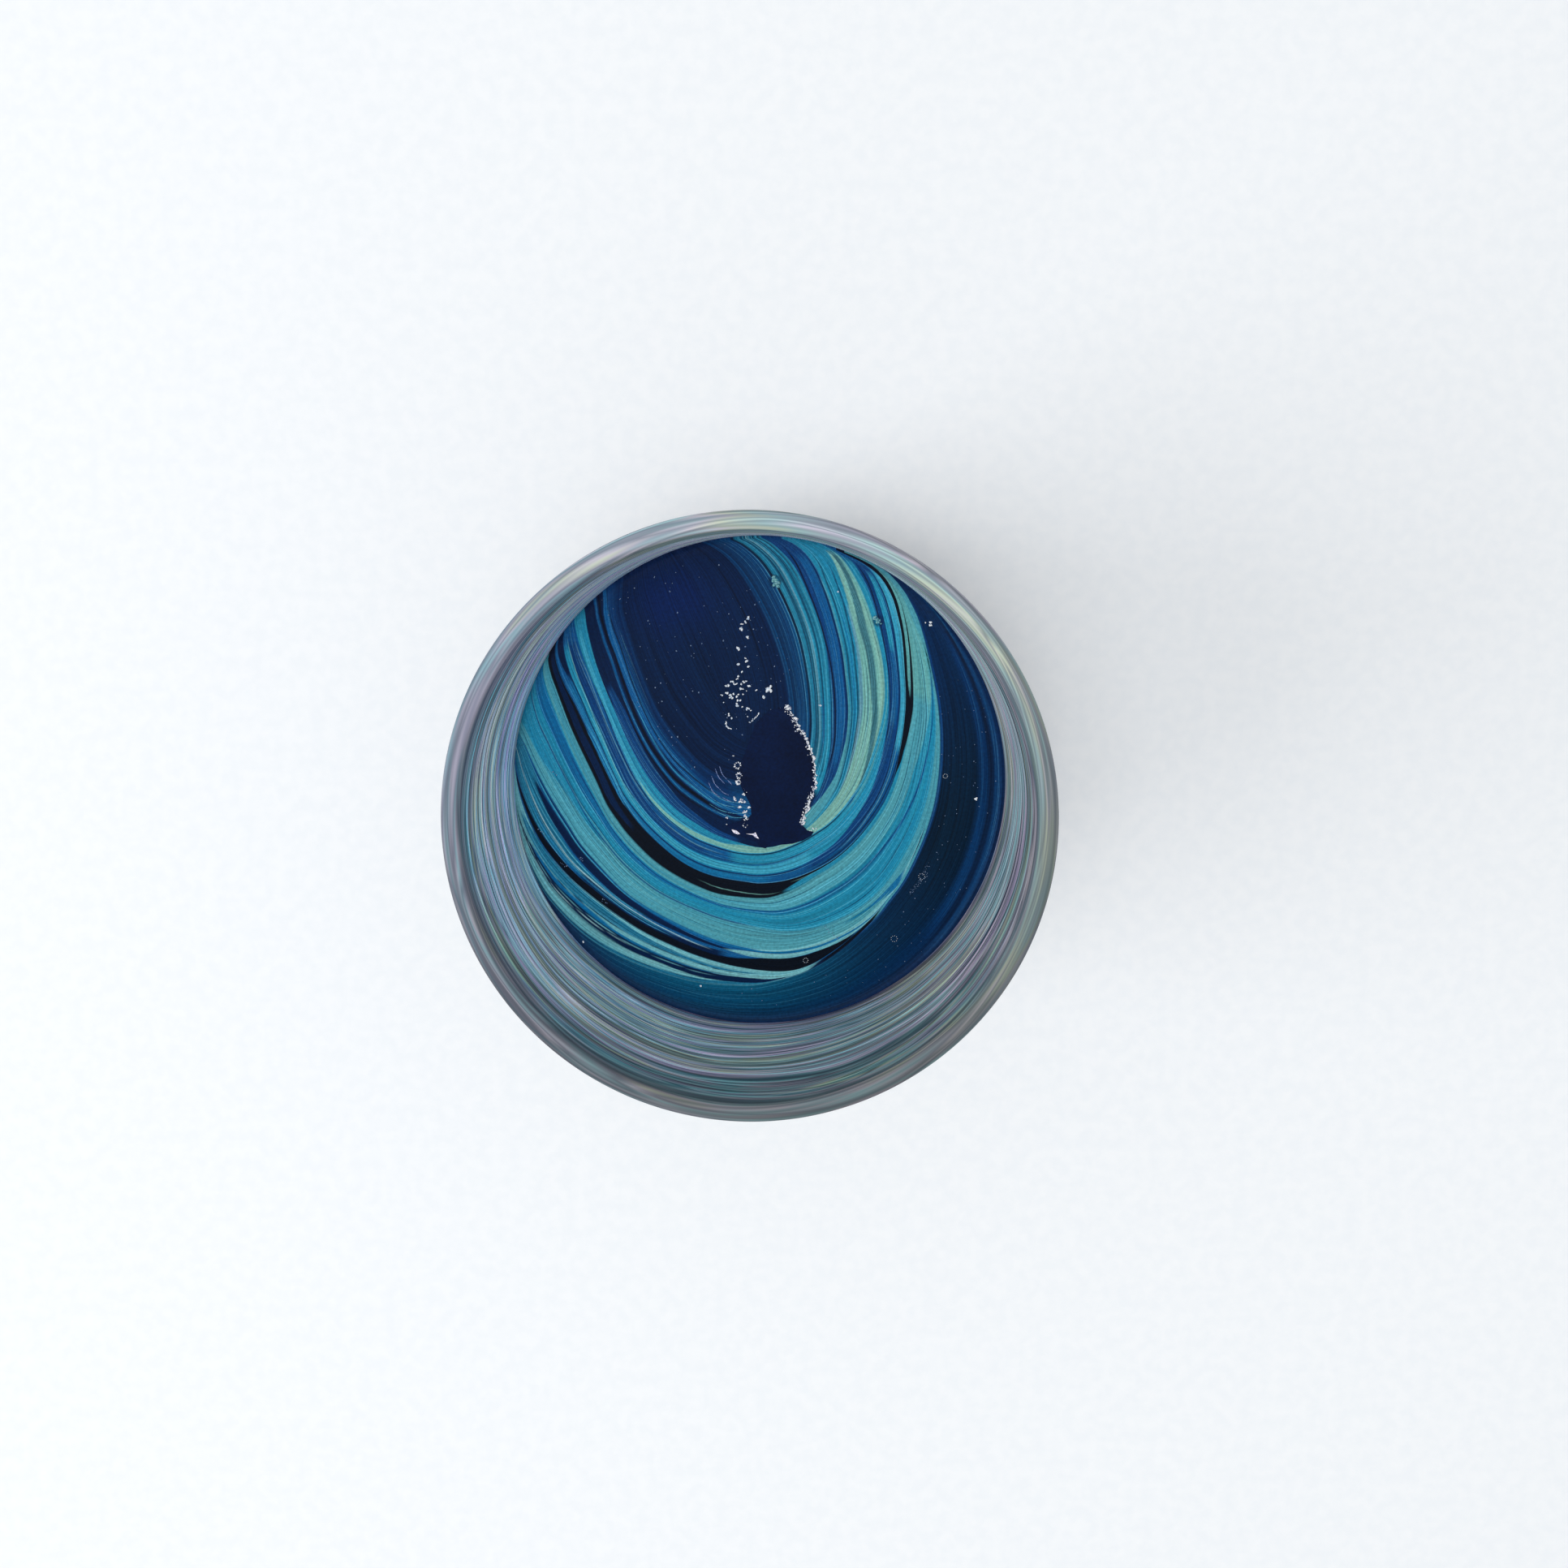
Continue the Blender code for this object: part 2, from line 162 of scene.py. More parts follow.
# The flow lines of the swirl in millimetres, outermost first. Each runs from the glass on the left, round
# the foot of the U and up to the glass at the top right.
FLOW_LINES = {
    "swirl_edge": [
        (-33.7, 3.5), (-33.6, -1), (-33.2, -5.5), (-32.1, -10), (-30, -14.7), (-27.5, -18),
        (-24.8, -20.7), (-21.6, -23), (-17.9, -24.9), (-13.3, -26.6), (-8.7, -27.8), (-4.1, -28.2),
        (-0.1, -28.1), (4.8, -26.8), (7.8, -25.5), (11.6, -22.9), (15.6, -19.1), (17.8, -16.3),
        (19.8, -13.5), (21.6, -9.8), (23, -6.1), (24.1, -1.6), (24.6, 4.3), (24.3, 10.2), (23.2, 16),
        (21.7, 21.7), (20.2, 25), (18.9, 26.9), (17.5, 28.4), (16, 29.5), (14, 30.7), (11.8, 31.65),
    ],
    "outer_black": [
        (-33.5, 4.5), (-33.2, 0.5), (-32.6, -2.5), (-31.5, -5.6), (-30.3, -8), (-28.7, -10.3),
        (-26.1, -13.2), (-23.1, -15.8), (-19.6, -18.4), (-15.9, -20.8), (-12, -22.7), (-8.3, -24.2),
        (-4.1, -25.4), (-0.1, -26), (3.9, -26.2), (7.4, -25.2), (11.2, -22.7), (15.4, -18.8),
        (17.6, -16.2), (19.6, -13.3), (22.8, -6), (24.4, 1.5), (24.4, 6.3), (23.9, 12.1), (23, 16),
        (21.5, 21.6), (20.05, 24.9), (18.75, 26.8), (17.35, 28.3), (15.9, 29.4), (13.9, 30.6),
        (11.7, 31.55),
    ],
    "teal_start": [
        (-33, 7.2), (-32, 5.2), (-30.8, 2.5), (-29.5, -0.2), (-28, -2.9), (-26.2, -5.8), (-24, -9.2),
        (-19.2, -14.5), (-15.6, -17.2), (-11.4, -19.5), (-7.5, -21.3), (-4.1, -22.4), (-0.1, -23.2),
        (3.6, -23.2), (7.1, -22.5), (9.8, -21.5), (12.9, -19.9), (15.6, -17.7), (17.9, -15),
        (19.7, -12.3), (21.4, -9), (22.8, -5.2), (23.9, -0.9), (24.3, 3.3), (24.2, 8.2), (23.6, 13.1),
        (22.6, 18), (21.2, 21.8), (19.9, 24.8), (18.6, 26.75), (17.2, 28.25), (15.8, 29.33),
        (13.8, 30.5), (11.6, 31.48),
    ],
    "teal_line": [
        (-30.7, 14.1), (-30.85, 12.4), (-30.6, 10.6), (-29.9, 8.2), (-28.7, 5.6), (-27.4, 2.8),
        (-25.8, -0.4), (-24, -3.6), (-21.7, -6.9), (-19.5, -9.9), (-17.2, -12.3), (-14.5, -14.5),
        (-11.9, -16), (-9.1, -17.3), (-5.2, -18.8), (0, -20.1), (4, -20.6), (8, -20), (12, -18.4),
        (15, -16.4), (17.5, -13.8), (19.6, -10.5), (21.4, -6.8), (22.8, -2.6), (23.6, 1.5), (24, 5.5),
        (24, 9.5), (23.4, 14.5), (22.4, 18.7), (21, 21.8), (19.7, 24.75), (18.4, 26.7), (17.05, 28.15),
        (15.7, 29.26), (13.7, 30.44), (11.5, 31.42),
    ],
    "black_start": [
        (-28.25, 18.3), (-28.6, 16.6), (-28.2, 14.6), (-27.6, 12.9), (-26.9, 10.9), (-25.8, 7.9),
        (-24.5, 4.9), (-22.3, 0.2), (-20.9, -3), (-19.4, -5.3), (-17.9, -7.3), (-14.9, -10.4),
        (-12, -12.5), (-8.6, -14.3), (-5.2, -15.5), (-0.1, -16), (2.5, -15.6), (5.5, -14.3),
        (7.7, -12.9), (9.8, -11.6), (12, -9.9), (13.9, -8), (15.9, -5.4), (17.6, -2.6), (18.9, 0.7),
        (19.8, 4.3), (20.7, 8.7), (20.95, 11.1), (20.85, 14.5), (20.55, 17.9), (20.05, 21.1),
        (19.2, 24.4), (17.95, 26.9), (16.7, 28.4), (15.4, 29.4), (13.5, 30.4), (11.3, 31.35),
    ],
    "black_end": [
        (-27.25, 19.8), (-27.65, 18), (-27.4, 16), (-26.5, 13.5), (-25, 10.6), (-23.7, 7.8),
        (-22.1, 4.8), (-19.9, 0.2), (-18.6, -2.6), (-16.3, -5.8), (-13.2, -8.9), (-10, -11.3),
        (-6.3, -12.9), (-1.8, -13.7), (0.4, -13.9), (3.6, -13.5), (6.6, -12.5), (9.8, -10.8),
        (12.5, -8.6), (15, -5.7), (17, -2.7), (18.1, -0.2), (18.7, 2), (19.5, 6.5), (19.9, 11),
        (19.7, 15.6), (19.3, 20.1), (18.65, 23.1), (17.9, 25.4), (16.6, 27.6), (15.3, 28.9),
        (13.8, 29.9), (12.2, 30.7), (10.2, 31.65),
    ],
    "pale_start": [
        (-24.95, 22.6), (-24.85, 21.2), (-24.1, 18), (-23.05, 14.9), (-21.8, 12), (-20.5, 9),
        (-19.2, 5.8), (-17.6, 2.2), (-16.4, -0.1), (-14.5, -2.9), (-12, -5.4), (-9.1, -7.4),
        (-6.3, -8.6), (-3.1, -9.5), (-0.1, -9.7), (2.5, -9.3), (5.5, -8.1), (7.7, -6.8), (9.8, -5.3),
        (12, -2.9), (13.9, -0.1), (15.1, 2.6), (16.3, 6.2), (17.1, 9.7), (17.3, 13.1), (16.9, 17),
        (16, 20.7), (14.95, 24), (13.7, 26.9), (12.4, 29.1), (11.3, 30.5), (10.2, 31.4), (8.8, 32.2),
        (7.2, 32.9),
    ],
    "pale_end": [
        (-23.6, 24), (-23.45, 22.6), (-23.2, 20.7), (-22.3, 17.1), (-20.8, 13), (-19.1, 9.3),
        (-17.3, 5.6), (-15.2, 2), (-13, -0.9), (-11.1, -3.1), (-8.6, -5.1), (-5.9, -6.9), (-2.9, -8.1),
        (-0.1, -8.9), (2.5, -8.7), (4.9, -7.5), (7, -5.7), (9, -3.3), (10.7, -0.3), (11.6, 2.9),
        (12.2, 6.4), (12.4, 10.2), (11.9, 15), (11.4, 18.4), (10.5, 22), (9.5, 25.2), (8.2, 28.2),
        (7.1, 30.1), (5.9, 31.5), (4.5, 32.5), (3, 33.1),
    ],
    "dark_end": [
        (-21.05, 26.2), (-21, 24.4), (-20.95, 22.8), (-20.2, 19.5), (-18.8, 15.6), (-17.5, 12.3),
        (-15.9, 8.9), (-14.3, 6), (-12.2, 3.1), (-9.9, 0.6), (-7.4, -1.7), (-5.2, -3.3), (-2.6, -4.5),
        (0.4, -5.3), (3.4, -5.3), (5.9, -4.3), (7.8, -2), (9, 1.1), (9.7, 4.7), (9.8, 8.2),
        (9.7, 12.1), (9.3, 17), (8.6, 20.4), (7.6, 23.4), (6.7, 25.6), (5.6, 28), (4.4, 29.9),
        (3.1, 31.3), (1.7, 32.5), (0.2, 33.3),
    ],
    "fringe_end": [
        (-18.5, 28.1), (-18.75, 25.5), (-18.7, 23.2), (-17.5, 18.9), (-16, 14.4), (-14.1, 9.9),
        (-12.3, 7), (-9.9, 4.1), (-8.1, 2.2), (-5.7, 0.6), (-2.6, -0.3), (0.5, -0.1), (2.9, 1.9),
        (4.3, 5.2), (4.7, 9.6), (4.3, 13.6), (3.4, 17.4), (1.8, 21.8), (-0.2, 25.7), (-2.3, 28.9),
        (-4.2, 30.9), (-6, 32.1), (-7.5, 32.7),
    ],
}
# The middle of the pool, down from the glass and back up to it.
POOL_SPINE = [
    (-13.3, 31.07), (-10.5, 24.0), (-7.6, 17.5), (-5.2, 12.0), (-3.2, 8.4), (-5.2, 12.05),
    (-7.6, 17.55), (-10.5, 24.05), (-13.25, 31.1),
]
# Where the swirl's outermost line meets the glass, in degrees from +X.
SWIRL_FROM = 174.07
SWIRL_TO = 429.55

# What is painted between the flow lines. A point is (how far along the line in percent, which line), where
# 0 is the glass, 1 the outermost flow line and so on inwards, and 2.5 is halfway from line 2 to line 3.
# A field is (colour, [(along, outer side, inner side), ...]).
PAINT_FIELDS = [
    ("deep_blue", [(0, 0, 1), (100, 0, 1)]),
    ("pale_teal", [(0, 0.2, 2), (5, 0.35, 2), (8, 0.65, 2), (12, 1, 2), (47, 1, 2)]),
    ("teal", [(10, 1, 1.05), (30, 1, 1.1), (38, 1, 1.2), (44, 1, 1.1)]),
    ("navy", [
        (5, 1.15, 1.2), (8, 1.3, 1.4), (12, 1.35, 1.6), (30, 1.3, 1.55), (40, 1.15, 1.45), (45, 1, 1.1),
    ]),
    ("blue", [(10, 1.5, 1.6), (20, 1.55, 1.65), (38, 1.5, 1.5)]),
    ("teal", [(6, 1.55, 1.75), (10, 1.65, 2), (20, 1.7, 1.95), (30, 1.75, 1.85), (40, 1.7, 1.75)]),
    ("pale_teal", [
        (22, 1.6, 1.65), (30, 1.6, 1.7), (40, 1.5, 1.6), (43, 1.3, 1.45), (45, 1.05, 1.3), (47, 1, 1.55),
    ]),
    ("black", [(47, 1, 1.8), (50, 1, 2), (55, 1, 2), (57, 1, 1.15)]),
    ("sea_teal", [(55, 1, 2), (100, 1, 2)]),
    ("mid_blue", [(0, 2, 3), (58, 2, 3)]),
    ("teal", [(0, 2.1, 3), (5, 2.15, 2.9), (10, 2.2, 2.65), (20, 2.35, 2.5), (28, 2.45, 2.5)]),
    ("black", [
        (2, 2, 2.05), (6, 2.05, 2.15), (20, 2, 2.25), (36, 2, 2.35), (40, 1.95, 2.6), (48, 2.05, 2.55),
        (52, 2, 2.1),
    ]),
    ("navy", [(16, 2.25, 2.4), (30, 2.3, 2.45), (36, 2.3, 2.6)]),
    ("navy", [(5, 2.75, 2.8), (10, 2.65, 2.85), (22, 2.6, 2.9), (37, 2.7, 2.75)]),
    ("pale_teal", [
        (35, 2.7, 2.7), (38, 2.6, 2.85), (46, 2.6, 2.75), (50, 2.35, 2.6), (53, 2, 2.25), (56, 2, 2.05),
    ]),
    ("pale_teal", [(38, 2.9, 3), (44, 2.9, 3), (50, 2.7, 3), (55, 2.2, 3), (60, 2, 3), (66, 2.9, 3)]),
    ("sea_teal", [(64, 2, 2.5), (66, 2, 3), (100, 2, 3)]),
    ("blue", [
        (24, 2.9, 3), (38, 2.9, 2.95), (44, 2.8, 2.9), (50, 2.6, 2.75), (53, 2.2, 2.4), (55, 2, 2.1),
    ]),
    ("blue", [(54, 3.25, 3.4), (56, 2.75, 3.2), (58, 2.2, 2.8), (60, 2, 2.05)]),
    ("sea_teal", [(0, 3, 4), (100, 3, 4)]),
    ("bright_teal", [(0, 3.2, 3.95), (6, 3.4, 3.95), (12, 3.65, 3.95), (20, 3.75, 3.95)]),
    ("deep_teal", [(50, 3.45, 3.6), (53, 3.4, 3.6), (57, 3, 3.2)]),
    ("blue", [(53, 3.45, 3.6), (57, 2.95, 3.4), (60, 2, 2.9)]),
    ("bright_teal", [(0, 4, 5), (82, 4, 5)]),
    ("blue", [(0, 4.2, 4.65), (12, 4.25, 4.6), (20, 4.3, 4.55), (30, 4.4, 4.5), (40, 4.5, 4.55)]),
    ("sea_teal", [
        (0, 4.7, 5), (30, 4.6, 5), (60, 4.65, 5), (70, 4.6, 5), (76, 4.35, 5), (82, 4, 5), (100, 4, 5),
    ]),
    ("green_teal", [(78, 4.2, 5), (84, 4.05, 5), (94, 4, 5), (100, 4, 5)]),
    ("black", [(0, 5, 6), (100, 5, 6)]),
    ("navy", [(1, 5.4, 5.85), (6, 5.35, 5.85), (12, 5.25, 5.7), (20, 5.2, 5.6), (26, 5.4, 5.6)]),
    ("blue", [(12, 5.95, 6), (16, 5.85, 6), (20, 5.85, 6), (24, 5.95, 6)]),
    ("bright_teal", [
        (47, 5.05, 5.2), (50, 5, 5.7), (60, 5, 5.85), (66, 5, 5.95), (68, 5, 5.8), (70, 5, 5.2), (73, 5, 5.1),
    ]),
    ("green_teal", [(78, 5.35, 5.5), (80, 5.3, 5.65), (85, 5.2, 5.6), (90, 5.05, 5.5), (96, 5.05, 5.15)]),
    ("mid_blue", [(0, 6, 7), (100, 6, 7)]),
    ("blue", [(6, 6.1, 6.35), (12, 6.05, 6.3), (18, 6, 6.15), (36, 6, 6.2), (46, 6.05, 6.2)]),
    ("bright_teal", [
        (2, 6.4, 6.6), (8, 6.35, 6.55), (20, 6.15, 6.35), (26, 6.25, 6.5), (50, 6.3, 6.6), (56, 6.4, 6.75),
        (62, 6.55, 7), (76, 6.9, 7), (92, 6.8, 7), (96, 6.65, 6.95),
    ]),
    ("sky_teal", [(12, 6.3, 6.4), (18, 6.25, 6.35), (34, 6.3, 6.5), (52, 6.35, 6.6)]),
    ("dark_blue", [(2, 6.6, 6.9), (10, 6.55, 6.85), (18, 6.45, 6.75), (28, 6.6, 6.8), (38, 6.65, 6.75)]),
    ("bright_teal", [(40, 6.6, 7), (54, 6.65, 7), (60, 6.75, 7)]),
    ("navy", [(0, 6.1, 6.4), (4, 6.15, 6.35), (7, 6.3, 6.35)]),
    ("sky_teal", [(70, 6, 6.25), (92, 6, 6.25), (95, 6, 6.1)]),
    ("dark_blue", [
        (50, 6.1, 6.25), (60, 6.25, 6.5), (70, 6.3, 6.7), (80, 6.3, 6.85), (92, 6.3, 6.75), (96, 6.15, 6.55),
    ]),
    ("mid_blue", [(72, 6.4, 6.7), (84, 6.35, 6.6), (94, 6.25, 6.4)]),
    ("bright_teal", [(82, 6.4, 6.6), (90, 6.35, 6.55), (94, 6.25, 6.4)]),
    ("bright_teal", [
        (0, 7, 8), (6, 7, 8), (14, 7, 7.85), (20, 7, 7.75), (30, 7, 7.75), (40, 7, 7.85),
        (46, 7, 8), (100, 7, 8),
    ]),
    ("dark_blue", [(14, 7.85, 8), (20, 7.7, 8), (30, 7.7, 8), (43, 7.9, 8)]),
    ("sky_teal", [(2, 7.15, 7.4), (6, 7.15, 7.5), (14, 7.05, 7.4)]),
    ("sky_teal", [(4, 7.2, 7.3), (14, 7, 7.3), (28, 7, 7.3), (34, 7, 7.35), (40, 7, 7.5), (45, 7, 8)]),
    ("pale_green", [
        (24, 7.05, 7.1), (32, 7.05, 7.2), (40, 7.05, 7.4), (45, 7, 7.95), (50, 7, 8), (60, 7.05, 7.75),
        (75, 7.05, 7.65), (85, 7.05, 7.6), (92, 7.05, 7.45), (97, 7.05, 7.25),
    ]),
    ("grey_green", [
        (61, 7, 7.05), (65, 7.05, 7.15), (70, 7.15, 7.3), (75, 7.25, 7.4), (85, 7.25, 7.45),
        (97, 7.1, 7.2),
    ]),
    ("slate_teal", [(60, 7.75, 7.8), (70, 7.65, 7.75), (88, 7.55, 7.6)]),
    ("navy", [(0, 8, 9), (54, 8, 9)]),
    ("dark_blue", [(12, 8, 8.25), (18, 8, 8.4), (26, 8, 8.25), (43, 8, 8.1)]),
    ("dark_blue", [(54, 8, 9), (100, 8, 9)]),
    ("sea_teal", [(52, 8, 9), (55, 8, 8.85), (58, 8, 8.55), (62, 8, 8.3), (68, 8, 8.1), (92, 8, 8.05)]),
    ("mid_blue", [(62, 8.45, 8.7), (70, 8.25, 8.65), (80, 8.25, 8.75), (96, 8.1, 8.5)]),
    ("mid_blue", [(0, 9, 10), (50, 9, 10)]),
    ("dark_blue", [(0, 9.2, 10), (10, 9.5, 10), (44, 9.5, 10)]),
    ("bright_teal", [(56, 9, 9.5), (100, 9, 9.5)]),
    ("mid_blue", [(58, 9.5, 10), (100, 9.5, 10)]),
    ("navy", [(0, 10, 11), (100, 10, 11)]),
]
# A streak is (colour, half its width in lines, strength, [(along, middle), ...]).
PAINT_STREAKS = [
    ("mid_blue", 0.04, 0.35, [(54, 0.1), (78, 0.15), (96, 0.3)]),
    ("dark_blue", 0.08, 0.4, [(56, 0.25), (88, 0.4)]),
    ("black", 0.04, 0.6, [(56, 0.2), (78, 0.25), (90, 0.3)]),
    ("dark_blue", 0.02, 0.9, [(52, 1), (95, 0.95)]),
    ("navy", 0.01, 0.9, [(12, 1.6), (20, 1.7), (33, 1.75), (38, 1.65), (41, 1.6), (44, 1.35), (46, 1.05)]),
    ("white_teal", 0.01, 0.8, [(5, 1.2), (8, 1.3), (12, 1.35), (26, 1.45)]),
    ("pale_teal", 0.01, 0.7, [(6, 1.25), (9, 1.4), (14, 1.45), (22, 1.5), (36, 1.4)]),
    ("navy", 0.01, 0.8, [(11, 1.05), (20, 1.05), (40, 1.15)]),
    ("navy", 0.01, 0.7, [(6, 1.1), (9, 1.2), (14, 1.3), (30, 1.3)]),
    ("white_teal", 0.02, 0.85, [(0, 2.4), (6, 2.45), (15, 2.4), (25, 2.55), (34, 2.5)]),
    ("sky_teal", 0.03, 0.6, [(3, 2.5), (8, 2.55), (20, 2.55), (26, 2.65)]),
    ("navy", 0.01, 0.8, [(0, 2.45), (13, 2.4), (20, 2.4)]),
    ("blue", 0.03, 0.7, [(6, 2.35), (12, 2.3), (30, 2.4)]),
    ("sky_teal", 0.02, 0.8, [(4, 2.9), (14, 2.9), (26, 2.95)]),
    ("navy", 0.02, 0.85, [(3, 2.95), (14, 2.95), (20, 3)]),
    ("mauve", 0.01, 0.5, [(28, 2.45), (32, 2.5)]),
    ("dark_blue", 0.03, 0.95, [(0, 3.95), (14, 3.95), (18, 3.85), (22, 3.9), (33, 3.95), (41, 4)]),
    ("grey_green", 0.02, 0.7, [(36, 3.5), (42, 3.65), (50, 3.85), (54, 3.95), (57, 3.8), (59, 3.65)]),
    ("blue", 0.02, 0.85, [(50, 3.55), (53, 3.5), (57, 3.05)]),
    ("deep_teal", 0.03, 0.8, [(59, 4), (63, 3.3), (65, 2.95), (67, 2.15)]),
    ("mid_blue", 0.01, 0.5, [(62, 4), (66, 3.4), (71, 2.55)]),
    ("sky_teal", 0.03, 0.4, [(1, 3.3), (10, 3.45), (30, 3.65)]),
    ("blue", 0.04, 0.7, [(0, 4.5), (40, 4.55), (60, 4.5), (66, 4.4), (74, 4.2)]),
    ("dark_blue", 0.02, 0.9, [
        (10, 4.5), (20, 4.55), (30, 4.5), (43, 4.6), (58, 4.55), (64, 4.45), (75, 4.2), (84, 4),
    ]),
    ("mid_blue", 0.02, 0.5, [(0, 4.35), (16, 4.35)]),
    ("blue", 0.01, 0.4, [(50, 4.25), (60, 4.25), (68, 4.1)]),
    ("blue", 0.01, 0.35, [(60, 4.75), (74, 4.65)]),
    ("sky_teal", 0.02, 0.5, [(4, 4.8), (24, 4.75), (50, 4.85)]),
    ("pale_green", 0.02, 0.8, [(36, 5.45), (40, 5.35), (47, 5.2)]),
    ("pale_green", 0.04, 0.8, [(48, 5.75), (52, 5.7)]),
    ("black", 0.05, 0.8, [(57, 5.8), (58, 5.45), (59, 5.2)]),
    ("black", 0.05, 0.95, [(77, 5.35), (83, 5.2), (86, 5.05), (88, 4.95)]),
    ("pale_green", 0.02, 0.8, [(78, 5.5), (84, 5.5), (90, 5.4), (94, 5.2)]),
    ("grey_green", 0.03, 0.6, [(60, 5.2), (64, 5.1)]),
    ("navy", 0.02, 0.9, [(0, 6.4), (10, 6.3), (15, 6.2), (20, 6.15), (25, 6.2), (46, 6.25), (52, 6.25)]),
    ("sky_teal", 0.02, 0.8, [(12, 6.1), (16, 6.05), (24, 6.1)]),
    ("pale_green", 0.01, 0.85, [(1, 6.6), (5, 6.6), (15, 6.4), (20, 6.35), (26, 6.5)]),
    ("navy", 0.01, 0.9, [(1, 6.65), (5, 6.65), (15, 6.45), (20, 6.4), (24, 6.5), (30, 6.6), (52, 6.65)]),
    ("slate_teal", 0.02, 0.75, [(2, 6.85), (8, 6.95), (15, 6.8), (28, 6.9)]),
    ("slate_teal", 0.01, 0.6, [(3, 6.8), (9, 6.85), (15, 6.75), (20, 6.7)]),
    ("slate_teal", 0.02, 0.6, [(28, 6.8), (40, 6.8)]),
    ("navy", 0.02, 0.9, [(3, 7), (8, 7.05), (15, 6.95), (20, 6.9), (30, 7), (40, 6.95), (60, 6.95)]),
    ("grey_green", 0.01, 0.8, [(48, 6.6), (57, 6.75), (66, 6.9), (71, 7)]),
    ("navy", 0.02, 0.95, [(50, 6.05), (65, 6.1), (72, 6)]),
    ("pale_teal", 0.01, 0.8, [(55, 6.15), (65, 6.2), (74, 6.15), (78, 6.1)]),
    ("navy", 0.02, 0.95, [(54, 6.2), (60, 6.25), (66, 6.3), (86, 6.3), (92, 6.25), (95, 6.15)]),
    ("black", 0.02, 0.95, [(68, 6.65), (76, 6.8), (80, 6.85), (88, 6.75), (96, 6.55)]),
    ("navy", 0.01, 0.8, [(70, 6.55), (86, 6.6), (92, 6.6)]),
    ("green_teal", 0.02, 0.8, [(58, 6.9), (80, 6.95)]),
    ("sky_teal", 0.01, 0.7, [(84, 6.9), (93, 6.75)]),
    ("dark_blue", 0.02, 0.8, [(12, 7.4), (36, 7.4), (40, 7.5), (43, 7.75)]),
    ("navy", 0.02, 0.9, [(64, 7.8), (80, 7.75), (90, 7.65), (95, 7.55)]),
    ("navy", 0.02, 0.9, [(58, 8), (70, 7.95), (91, 7.9), (96, 7.8)]),
    ("blue", 0.03, 0.6, [(62, 7.9), (88, 7.8)]),
    ("grey_green", 0.02, 0.8, [(60, 7), (64, 7.05), (74, 7.2)]),
    ("slate_teal", 0.02, 0.5, [(56, 7.2), (68, 7.4), (76, 7.55)]),
    ("slate_teal", 0.02, 0.5, [(58, 7.45), (70, 7.6)]),
    ("navy", 0.03, 0.8, [(68, 8.15), (86, 8.15), (96, 8.05)]),
    ("black", 0.04, 0.95, [(60, 8.95), (66, 8.75), (75, 8.8), (81, 8.95), (91, 8.9), (98, 8.65)]),
    ("deep_teal", 0.03, 0.7, [(66, 8.9), (77, 8.95)]),
    ("mid_blue", 0.06, 0.9, [(0, 8.55), (5, 8.7), (10, 8.75), (20, 8.55), (30, 8.5), (40, 8.75), (43, 8.85)]),
    ("sky_teal", 0.01, 0.5, [(16, 8.7), (22, 8.55), (28, 8.5), (34, 8.55), (40, 8.75)]),
    ("black", 0.05, 0.9, [(0, 8.75), (10, 9), (20, 8.75), (30, 8.65), (40, 8.9)]),
    ("black", 0.03, 0.8, [(14, 8.55), (20, 8.4), (32, 8.4), (38, 8.55)]),
    ("mid_blue", 0.06, 0.9, [(3, 9.05), (10, 9.15), (20, 8.95), (30, 8.85), (42, 9.05)]),
    ("sky_teal", 0.02, 0.7, [(18, 9), (30, 8.85), (41, 9.05)]),
    ("black", 0.04, 0.85, [(3, 9.3), (10, 9.45), (20, 9.3), (30, 9.2), (40, 9.4)]),
    ("black", 0.03, 0.6, [(0, 9.2), (6, 9.3)]),
    ("blue", 0.03, 0.5, [(8, 9.7), (26, 9.6), (38, 9.65)]),
    ("slate_teal", 0.02, 0.5, [(8, 9.65), (16, 9.8), (24, 9.8)]),
    ("navy", 0.02, 0.8, [(58, 9.1), (100, 9.05)]),
    ("navy", 0.02, 0.9, [(58, 9.2), (100, 9.15)]),
    ("slate_teal", 0.02, 0.8, [(58, 9.3), (100, 9.25)]),
    ("navy", 0.02, 0.7, [(58, 9.35), (100, 9.3)]),
    ("navy", 0.02, 0.85, [(58, 9.4), (100, 9.35)]),
    ("black", 0.03, 0.95, [(58, 9.55), (100, 9.5)]),
    ("sky_teal", 0.02, 0.8, [(60, 9.45), (92, 9.45)]),
    ("sky_teal", 0.02, 0.7, [(60, 9.1), (92, 9.05)]),
    ("mid_blue", 0.03, 0.6, [(62, 9.2), (72, 9.2)]),
    ("navy", 0.02, 0.5, [(64, 9.75), (94, 9.7)]),
    ("blue", 0.02, 0.6, [(64, 9.6), (96, 9.55)]),
]

# How finely the surface is drawn.
COLUMNS = 470
BAND_ROWS = (44, 34, 46, 34, 46, 28, 54, 36, 42, 34, 14)
LINE_STEPS = 12
SOFTEN = 9
FIELD_EDGE = 0.02
FIELD_OVERLAP = 0.01
FIELD_FADE = 1.5
STREAK_FADE = 3.0

